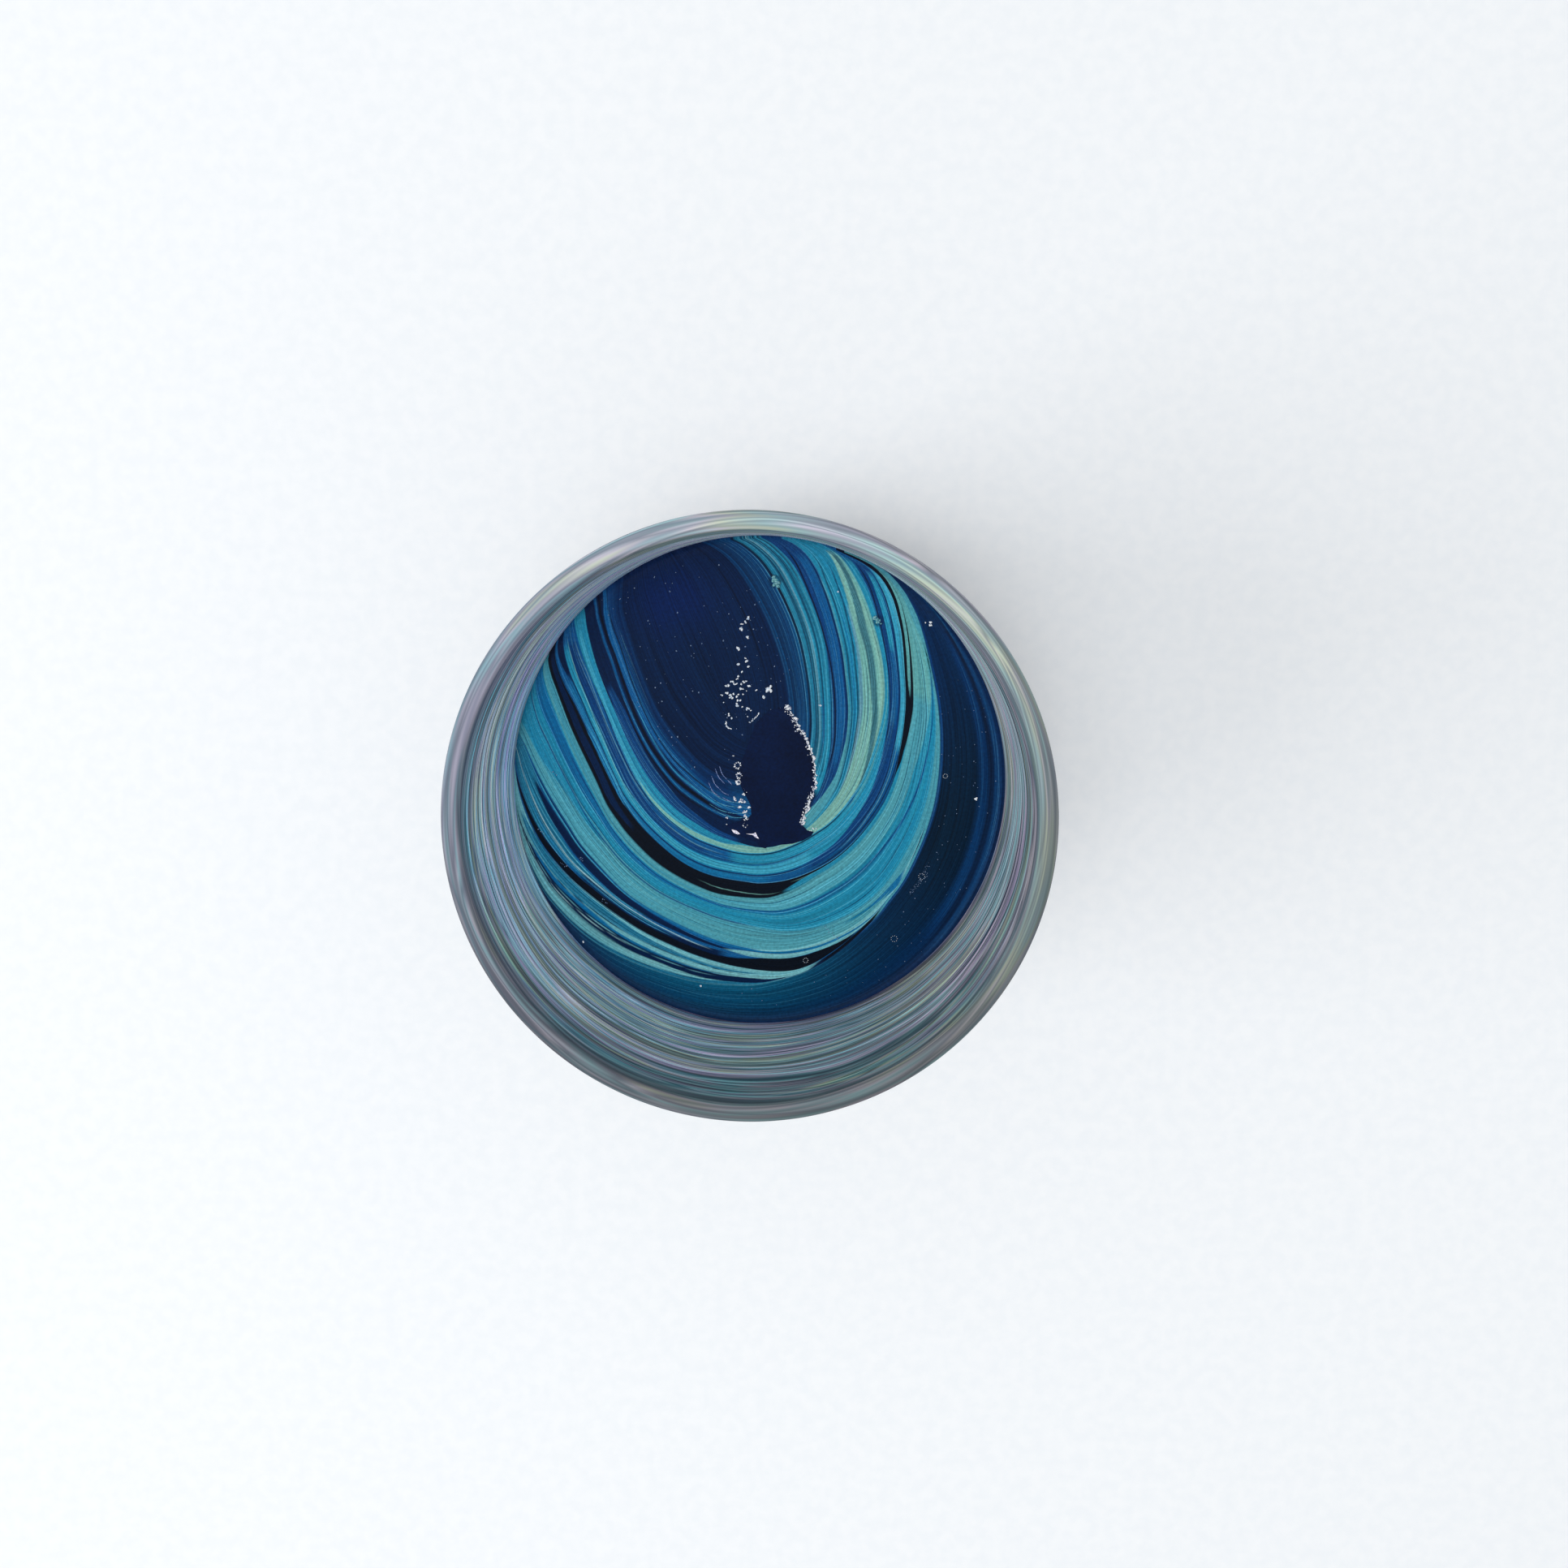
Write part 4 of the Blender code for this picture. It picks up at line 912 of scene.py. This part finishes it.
def film_piece(finish):
    """A streaked sleeve from the paint's edge up the glass, thinning out over its lip."""
    path = film_path()
    turns = 2 * TURNS
    turn = np.arange(turns) / turns * math.tau
    around = np.stack([np.cos(turn), np.sin(turn)], axis=1)
    reached = [0.0]
    for before, after in zip(path, path[1:]):
        reached.append(reached[-1] + math.dist(before[:2], after[:2]) / MM)
    layers = []
    shade = []
    flow = []
    for touching in (True, False):
        for (radius, height, side, up), s in zip(path, reached):
            on_wall = np.clip((top_of_wall(path) - height) / FILM_THINS_OVER, 0, 1)
            thick = COAT_THICKNESS + (FILM_THICKNESS - COAT_THICKNESS) * on_wall
            off = -FILM_INTO_GLASS if touching else thick
            r = min(radius + side * off, OUTER_RADIUS)
            layers.append(np.column_stack([r * around, np.full(turns, height + up * off)]))
            # The inner face gets the film's painted light and shade; the face on the glass gets a flat tint.
            shade.append(np.full((turns, 3), FILM_OUTSIDE_SHADE) if touching else film_shade(turn, s))
            flow.append(np.column_stack([around * INNER_RADIUS / MM, np.full(turns, s)]))
    count = len(path)
    rows = np.arange(2 * count * turns).reshape(2 * count, turns)
    loop = np.concatenate([rows[:count], rows[:count - 1:-1], rows[:1]])
    beside = np.roll(loop, -1, axis=1)
    faces = np.stack([loop[:-1], loop[1:], beside[1:], beside[:-1]], axis=-1).reshape(-1, 4)
    made = mesh_object("wall_film", np.concatenate(layers), faces, finish)
    set_colours(made, "shade", np.concatenate(shade))
    set_vectors(made, "flow", np.concatenate(flow))
    return made


def top_of_wall(path):
    return max(height for radius, height, side, up in path if up == 0.0)


def peak(value, middle, width):
    """1 at the middle, falling smoothly to 0 on both sides."""
    return np.exp(-(((value - middle) / width) ** 2))


def facing(turn, middle):
    """1 on the side of the jar at the given angle in degrees, falling to 0 on the opposite side."""
    return 0.5 + 0.5 * np.cos(turn - math.radians(middle))


def film_shade(turn, s):
    """The film's painted light and shade: lighter up the wall and most on one side, a painted reflection low
    on the far side, the lip painted darker and lighter on one side, a bright and a dark line on the near
    side, and painted shade along with the paint's own darkening in the damp band just above the paint.
    """
    near = facing(turn, NEAR_SIDE)
    # Painted reflection in a band low on the far side of the wall.
    pale = peak(s, *PAINTED_REFLECTION_BAND) * facing(turn, PAINTED_REFLECTION_SIDE) ** 2
    # Darker in the damp band just above the paint: the paint's own darkening and painted shade, strongest on
    # one side.
    wet_shade = math.exp(-s / WET_SHADE_REACH) * (0.15 + 0.65 * facing(turn, WET_SHADE_SIDE) ** 2)
    on_lip = min(1.0, max(0.0, (s - LIP_FROM) / LIP_OVER))
    # Painted light: the wall lighter all round and most on one side; the lip painted darker and lighter on
    # its lit side.
    wall = 1.20 + 1.45 * facing(turn, PAINTED_LIGHT_SIDE) + 0.80 * pale
    lip = 0.35 + 0.60 * facing(turn, LIP_LIT_SIDE) ** 1.2
    bright_line = near * peak(s, *BRIGHT_LINE)
    dark_line = near * peak(s, *DARK_LINE)
    value = wall * (1.0 - on_lip) + lip * on_lip
    value = value * (1.0 + 1.3 * bright_line - 0.5 * dark_line) * (1.0 - wet_shade)
    left = np.clip(-np.cos(turn), 0, 1)
    right = np.clip(np.cos(turn), 0, 1)
    red = value * (1.09 - 0.06 * left + 0.01 * right - 0.10 * wet_shade - 0.30 * bright_line - 0.07 * on_lip)
    green = value * (1.02 - 0.05 * left + 0.02 * right - 0.30 * wet_shade)
    blue = value * (0.94 + 0.06 * left + 0.35 * wet_shade)
    return np.stack([red, green, blue], axis=1)


# ---------------------------------------------------------------- the paint's surface


def along_all(points, column, wide):
    """One side of a painted shape at every column, softened where its straight runs meet."""
    rough = np.interp(wide, [p[0] for p in points], [p[column] for p in points])
    pad = SOFTEN // 2
    held = np.concatenate([np.full(pad, rough[0]), rough, np.full(pad, rough[-1])])
    return np.convolve(held, np.ones(SOFTEN) / SOFTEN, mode="valid")[: len(wide)]


def ends(points, wide, fade):
    """1 along the shape, falling to 0 towards each end that isn't on the glass."""
    start, stop = points[0][0], points[-1][0]
    first = np.ones_like(wide) if start <= 0 else np.clip((wide - start) / fade, 0, 1)
    last = np.ones_like(wide) if stop >= 100 else np.clip((stop - wide) / fade, 0, 1)
    return first * last


def painted(lines, wide, sheet):
    """The colour at each crossing of a row and a column."""
    rows = lines[:, None]
    colours = np.zeros((len(lines), len(wide), 3))
    colours[:] = linear(PALETTE["navy"])
    for name, points in PAINT_FIELDS:
        outer = along_all(points, 1, wide)
        inner = along_all(points, 2, wide) + FIELD_OVERLAP
        past_outer = np.clip((rows - outer) / FIELD_EDGE + 0.5, 0, 1)
        before_inner = np.clip((inner - rows) / FIELD_EDGE + 0.5, 0, 1)
        share = (past_outer * before_inner * ends(points, wide, FIELD_FADE))[..., None]
        colours = colours * (1 - share) + linear(PALETTE[name]) * share
    colours = crescent(colours, sheet, lines)
    for name, half, strength, points in PAINT_STREAKS:
        middle = along_all(points, 1, wide)
        share = strength * np.clip(1.5 - np.abs(rows - middle) / half, 0, 1)
        share = (share * ends(points, wide, STREAK_FADE))[..., None]
        colours = colours * (1 - share) + linear(PALETTE[name]) * share
    return colours


def surface_sheet():
    """Places on the surface in millimetres, its rows along the flow, and each row's line number."""
    turn = np.radians(np.linspace(SWIRL_FROM, SWIRL_TO, COLUMNS))
    radius = (INNER_RADIUS + INTO_GLASS) / MM
    glass = np.stack([radius * np.cos(turn), radius * np.sin(turn)], axis=1)
    keys = [glass, *[smooth_line(points, COLUMNS) for points in FLOW_LINES.values()]]
    keys.append(smooth_line(POOL_SPINE, COLUMNS))
    sheet = []
    lines = []
    for band, (outer, inner, count) in enumerate(zip(keys, keys[1:], BAND_ROWS)):
        for step in range(count):
            share = step / count
            sheet.append(outer * (1 - share) + inner * share)
            lines.append(band + share)
    sheet = np.array([*sheet, keys[-1]])
    lines = np.array([*lines, float(len(keys) - 1)])
    for side in (0, -1):
        sheet[:, side] *= radius / np.linalg.norm(sheet[:, side], axis=1)[:, None]
    return sheet, lines


def paint_surface(finish):
    """One sheet over the whole jar that climbs a little where it meets the glass."""
    sheet, lines = surface_sheet()
    high, across = sheet.shape[:2]
    gap = np.maximum((INNER_RADIUS + INTO_GLASS) / MM - np.linalg.norm(sheet, axis=2), 0.0) * MM
    z = PAINT_LEVEL + MENISCUS_RISE * np.exp(-gap / MENISCUS_REACH)
    colours = painted(lines, np.linspace(0, 100, across), sheet)
    colours = touched_up(colours, sheet, lines) * PAINT_ALBEDO
    vertices = np.concatenate([sheet * MM, z[..., None]], axis=2).reshape(-1, 3)
    index = np.arange(high * across).reshape(high, across)
    faces = np.stack([index[:-1, :-1], index[1:, :-1], index[1:, 1:], index[:-1, 1:]], axis=-1).reshape(-1, 4)
    made = mesh_object("paint_surface", vertices, faces[:, ::-1], finish)
    set_colours(made, "paint", np.clip(colours, 0, 1).reshape(-1, 3))
    steps = np.linalg.norm(np.diff(sheet, axis=1), axis=2)
    length = np.concatenate([np.zeros((high, 1)), np.cumsum(steps, axis=1)], axis=1)
    flow = np.stack([length, np.repeat(lines[:, None], across, axis=1), np.zeros((high, across))], axis=-1)
    set_vectors(made, "flow", flow.reshape(-1, 3))
    return made


def blend(colours, share, seen):
    """The colours with a share of another one, given as it is seen, laid over them."""
    share = share[..., None]
    return colours * (1 - share) + linear(seen) * share


def crescent(colours, sheet, lines):
    """The outer crescent: teal where it meets the foot of the swirl, nearly black on the right."""
    inward = np.clip(lines, 0, 1)[:, None]
    outside = (lines < 1.0)[:, None]
    turn = np.degrees(np.arctan2(sheet[..., 1], sheet[..., 0]))
    foot = peak(turn, *CRESCENT_FOOT)
    colours = blend(colours, outside * foot * inward**1.1 * 0.95, FOOT_COLOUR)
    side = peak(turn, *CRESCENT_SIDE)
    return blend(colours, outside * side * np.clip((inward - 0.15) / 0.3, 0, 1) * 0.9, PALETTE["night"])


def touched_up(colours, sheet, lines):
    """The fringe fading into the pool, the pool's glow, a painted shadow ring round each lump and the shade
    where the paint meets the glass.
    """
    x, y = sheet[..., 0], sheet[..., 1]
    last_line = len(FLOW_LINES)
    into_pool = np.clip((lines - FRINGE_FADES_FROM) / (last_line - FRINGE_FADES_FROM), 0, 1)
    into_pool = (into_pool * (lines < last_line))[:, None] * np.ones(sheet.shape[1])
    colours = blend(colours, into_pool * 0.9, PALETTE["navy"])
    glow = peak(x, GLOW_MIDDLE[0], GLOW_SIZE[0]) * peak(y, GLOW_MIDDLE[1], GLOW_SIZE[1])
    colours = blend(colours, glow * (colours.sum(axis=2) < DARK_ENOUGH) * 0.7, GLOW_COLOUR)
    # A painted shadow ring round each lump.
    for lump_x, lump_y, size in LUMPS:
        away = np.hypot(x - lump_x, y - lump_y)
        colours = blend(colours, peak(away, 1.5 * size, LUMP_SHADOW_WIDTH) * 0.75, LUMP_SHADOW_COLOUR)
    gap = np.maximum(INNER_RADIUS / MM - np.linalg.norm(sheet, axis=2), 0.0)
    return blend(colours, np.exp(-gap / EDGE_SHADE_REACH) * 0.7, EDGE_SHADE_COLOUR)


# ---------------------------------------------------------------- the tear, bubbles and specks


def flat_piece(name, outline, height, thickness, finish):
    """A flat closed piece from its outline in millimetres."""
    shape = bmesh.new()
    top = [shape.verts.new((x * MM, y * MM, height)) for x, y in outline]
    face = shape.faces.new(top)
    raised = bmesh.ops.extrude_face_region(shape, geom=[face])
    for part in raised["geom"]:
        if isinstance(part, bmesh.types.BMVert):
            part.co.z -= thickness
    bmesh.ops.recalc_face_normals(shape, faces=shape.faces)
    bmesh.ops.triangulate(shape, faces=shape.faces)
    return from_bmesh(name, shape, finish)


def beads(name, places, finish, detail=1):
    """Many small rough blobs in one piece.

    Each is (x, y, half-length, half-width, turn in radians, half-height), its lengths in millimetres.
    """
    shape = bmesh.new()
    for x, y, long, wide, turn, height in places:
        made = bmesh.ops.create_icosphere(shape, subdivisions=detail, radius=1.0)
        for vertex in made["verts"]:
            rough = random.uniform(*BEAD_ROUGHNESS)
            px, py = vertex.co.x * long * rough, vertex.co.y * wide * rough
            vertex.co = Vector((
                (x + px * math.cos(turn) - py * math.sin(turn)) * MM,
                (y + px * math.sin(turn) + py * math.cos(turn)) * MM,
                PAINT_LEVEL + vertex.co.z * height * rough * MM,
            ))
    made = from_bmesh(name, shape, finish)
    made.data.shade_smooth()
    return made


def strewn(line, count, spread, low, high):
    """Blobs scattered along a line, as beads() takes them."""
    made = []
    for x, y in smooth_line(line, count):
        size = random.uniform(low, high)
        made.append((
            x + random.gauss(0, spread), y + random.gauss(0, spread), size * random.uniform(0.9, 1.7), size,
            random.uniform(0, math.pi), size * 0.9,
        ))
    return made


def cluster(x, y, size, count, near_from, near_to, spread_x, spread_y, long, wide, high):
    """A few overlapping blobs about one place, as beads() takes them.

    The blobs' sizes and spreads are shares of the size given, and their lengths are shares of their own size.
    """
    made = []
    for _ in range(count):
        near = random.uniform(near_from, near_to) * size
        made.append((
            x + random.gauss(0, size * spread_x), y + random.gauss(0, size * spread_y),
            near * long, near * wide, random.uniform(0, math.pi), near * high,
        ))
    return made


def jagged(line, reach):
    """The line with each point pushed a little at random."""
    return [(x + random.uniform(-reach, reach), y + random.uniform(-reach, reach)) for x, y in line]


def ring_of_beads(x, y, radius):
    """A small crinkled ring of skin."""
    made = []
    for i in range(RING_BEADS):
        a = math.tau * i / RING_BEADS
        size = random.uniform(0.09, 0.17)
        made.append((x + radius * math.cos(a), y + radius * math.sin(a), size * 1.3, size, a, size))
    return made


def stripe(name, lines, width, finish):
    """Thin raised threads that lie on the surface, one for each line in millimetres."""
    curve = bpy.data.curves.new(name, "CURVE")
    curve.dimensions = "3D"
    curve.bevel_depth = width / 2 * MM
    curve.bevel_resolution = 2
    curve.use_fill_caps = True
    for line in lines:
        points = smooth_line(line, THREAD_POINTS)
        spline = curve.splines.new("POLY")
        spline.points.add(len(points) - 1)
        for i, (target, (x, y)) in enumerate(zip(spline.points, points)):
            target.co = (x * MM, y * MM, PAINT_LEVEL + THREAD_RAISED, 1.0)
            target.radius = math.sin(math.pi * (i + 0.5) / len(points)) ** 0.5
    return placed(name, curve, finish)


def rim_bits(name, angles, finish):
    """Crumbs of dried paint on the lip, at the given angles in degrees."""
    shape = bmesh.new()
    for angle in angles:
        turn = math.radians(angle)
        for _ in range(CRUMBS_EACH):
            size = random.uniform(*CRUMB_SIZE_MM) * MM
            made = bmesh.ops.create_icosphere(shape, subdivisions=1, radius=size)
            radius = OUTER_RADIUS - random.uniform(*CRUMB_INSET_MM) * MM
            a = turn + random.gauss(0, CRUMB_SCATTER)
            away = Vector((radius * math.cos(a), radius * math.sin(a), HEIGHT - CRUMB_DROP))
            bmesh.ops.translate(shape, verts=made["verts"], vec=away)
    return from_bmesh(name, shape, finish)


def belongs(piece, slot, *nodes):
    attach(piece, "root")
    if nodes:
        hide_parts(*nodes)
    return piece


glass = turned("glass", glass_profile(), glass_material())
belongs(glass, "clear_glass", "glass_jar")

body = turned("paint_body", body_profile(), body_material())
belongs(body, "deep_blue_paint", "deep_paint_body")

film = film_piece(film_material())
belongs(film, "thin_paint_film", "wall_paint_film")

surface = paint_surface(surface_material())
belongs(
    surface, "teal_paint", "deep_blue_crescent", "outer_teal_ribbon", "outer_black_ribbon",
    "broad_teal_ribbon", "main_black_ribbon", "blue_line_ribbon", "middle_teal_ribbon", "pale_green_ribbon",
    "left_blue_ribbon", "left_fringe_ribbon", "right_teal_ribbon", "right_fringe_ribbon",
)

navy = pool_material()
tear = [*TORN_RIGHT, *TORN_FOOT, *TORN_LEFT, *POOL_MIDDLE]
pool = flat_piece("torn_pool", jagged(tear, 0.08), PAINT_LEVEL + POOL_RAISED, POOL_THICKNESS, navy)
belongs(pool, "navy_paint", "navy_pool")

white_skin = skin_material("dried_skin", (255, 255, 255), (104, 116, 158))
right_edge = [(x - 0.05, y) for x, y in TORN_RIGHT[:-2]]
right_places = strewn(right_edge, 430, 0.17, 0.09, 0.18)
for strand in RIGHT_STRANDS:
    right_places += strewn(*strand)
right_skin = beads("right_torn_edge", right_places, white_skin)
belongs(right_skin, "dried_skin", "right_torn_skin")

left_places = []
for x, y, radius in LEFT_RINGS:
    left_places += ring_of_beads(x, y, radius)
for x, y, size in LEFT_BITS:
    left_places += cluster(x, y, size, 5, 0.40, 0.65, 0.5, 0.5, 1.4, 1.0, 1.0)
left_skin = beads("left_torn_edge", left_places, white_skin)
belongs(left_skin, "dried_skin", "left_torn_skin")

flap_skin = skin_material("pale_flap", (255, 246, 255), (150, 150, 186))
for number, outline in enumerate(TORN_FLAPS):
    flap_top = PAINT_LEVEL + FLAP_RAISED
    flap = flat_piece(f"torn_flap_{number + 1}", outline, flap_top, FLAP_THICKNESS, flap_skin)
    belongs(flap, "dried_skin")

bubble_skin = skin_material("bubble_skin", (255, 255, 255), (176, 196, 220))
bubble_places = []
for x, y, size in BUBBLES:
    bubble_places += cluster(x, y, size, 3, 0.55, 0.85, 0.4, 0.35, 1.3, 0.9, 0.8)
for line in LONG_BUBBLES:
    bubble_places += strewn(line, 16, 0.04, 0.07, 0.11)
for x, y, radius in RINGS:
    bubble_places += [(px, py, 0.06, 0.05, 0.0, 0.05) for px, py, *_ in ring_of_beads(x, y, radius)]
bubbles = beads("surface_bubbles", bubble_places, bubble_skin)
belongs(bubbles, "dried_skin")

lump_skin = skin_material("pigment_lump_skin", (120, 180, 184), (40, 104, 130))
for side, (x, y, size) in zip(("left", "right"), LUMPS):
    places = strewn([(x - 0.3, y + 0.4), (x + 0.2, y - 0.3)], 12, size * 0.35, size * 0.3, size * 0.6)
    lump = beads(f"{side}_lump", places, lump_skin, 2)
    belongs(lump, "pale_green_paint", f"{side}_pigment_lump")

smear_skin = skin_material("smear_skin", (120, 136, 182), (24, 66, 120))
smears = stripe("wrinkled_smears", SMEARS, SMEAR_WIDTH_MM, smear_skin)
belongs(smears, "dried_skin")

thread_skin = skin_material("thread_skin", (62, 150, 178), (16, 78, 124))
threads = stripe("fringe_threads", FRINGE_THREADS, THREAD_WIDTH_MM, thread_skin)
belongs(threads, "teal_paint")

crumb_skin = skin_material("rim_crumb_skin", (96, 100, 104), (50, 56, 60))
crumbs = rim_bits("rim_crumbs", RIM_BITS, crumb_skin)
belongs(crumbs, "dried_skin")

# Fine pale specks over the dark paint: first the pool's, then the crescent's.
speck_places = []
for line in SCRATCHES:
    speck_places += strewn(line, 22, 0.12, 0.035, 0.07)
for x, y in SMUDGES:
    speck_places += strewn([(x - 0.3, y + 0.3), (x + 0.3, y - 0.3)], 5, 0.12, 0.05, 0.10)
while len(speck_places) < POOL_SPECKS:
    x, y = random.uniform(-24, 8), random.uniform(0, 33)
    inside = -21.5 + (33 - y) * 0.02 + max(0.0, (20 - y)) * 0.45 < x < 4.2 - max(0.0, y - 18) * 0.55
    if math.hypot(x, y) < 33.0 and inside:
        size = random.uniform(*SPECK_SIZE_MM) * random.choice((1, 1, 1, 1.7))
        speck_places.append((x, y, size, size, 0.0, size * 0.8))
while len(speck_places) < ALL_SPECKS:
    turn = random.uniform(math.radians(-95), math.radians(30))
    radius = random.uniform(25.0, 32.5)
    x, y = radius * math.cos(turn), radius * math.sin(turn)
    if x * x / 24.8**2 + (y - 1.5) ** 2 / 29.8**2 > 1.0:
        size = random.uniform(*SPECK_SIZE_MM)
        speck_places.append((x, y, size, size, 0.0, size * 0.8))
speck_skin = skin_material("speck_skin", (132, 150, 178), (60, 90, 130))
specks = beads("pale_specks", speck_places, speck_skin)
belongs(specks, "dried_skin")

# Stage, light and camera.
half = FLOOR_WIDTH / 2
floor_corners = [(-half, -half, 0), (half, -half, 0), (half, half, 0), (-half, half, 0)]
floor = mesh_object("floor", floor_corners, [(0, 1, 2, 3)], floor_material(), False)
floor.location.z = -FLOOR_GAP

world = bpy.data.worlds.new("soft_sky")
bpy.context.scene.world = world
world.use_nodes = True
sky = world.node_tree.nodes["Background"]
sky.inputs["Color"].default_value = SKY_COLOUR
sky.inputs["Strength"].default_value = SKY_STRENGTH

for name, place, size, power in LAMPS:
    lamp_data = bpy.data.lights.new(name, "AREA")
    lamp_data.shape = "SQUARE"
    lamp_data.size = size
    lamp_data.energy = power
    lamp = bpy.data.objects.new(name, lamp_data)
    lamp.location = place
    lamp.rotation_euler = (Vector(LAMPS_AIM) - lamp.location).to_track_quat("-Z", "Y").to_euler()
    bpy.context.scene.collection.objects.link(lamp)

camera_data = bpy.data.cameras.new("camera")
camera_data.lens = CAMERA_LENS
camera_data.sensor_width = SENSOR_WIDTH
camera_data.clip_start = CAMERA_NEAR
camera = bpy.data.objects.new("camera", camera_data)
back = -Vector(CAMERA_AIM).normalized()
right = Vector((0, 1, 0)).cross(back).normalized()
turned_to = Matrix((right, back.cross(right), back)).transposed().to_4x4()
camera.matrix_world = Matrix.Translation(CAMERA_PLACE) @ turned_to
bpy.context.scene.collection.objects.link(camera)
bpy.context.scene.camera = camera
bpy.context.scene.view_settings.view_transform = "Standard"
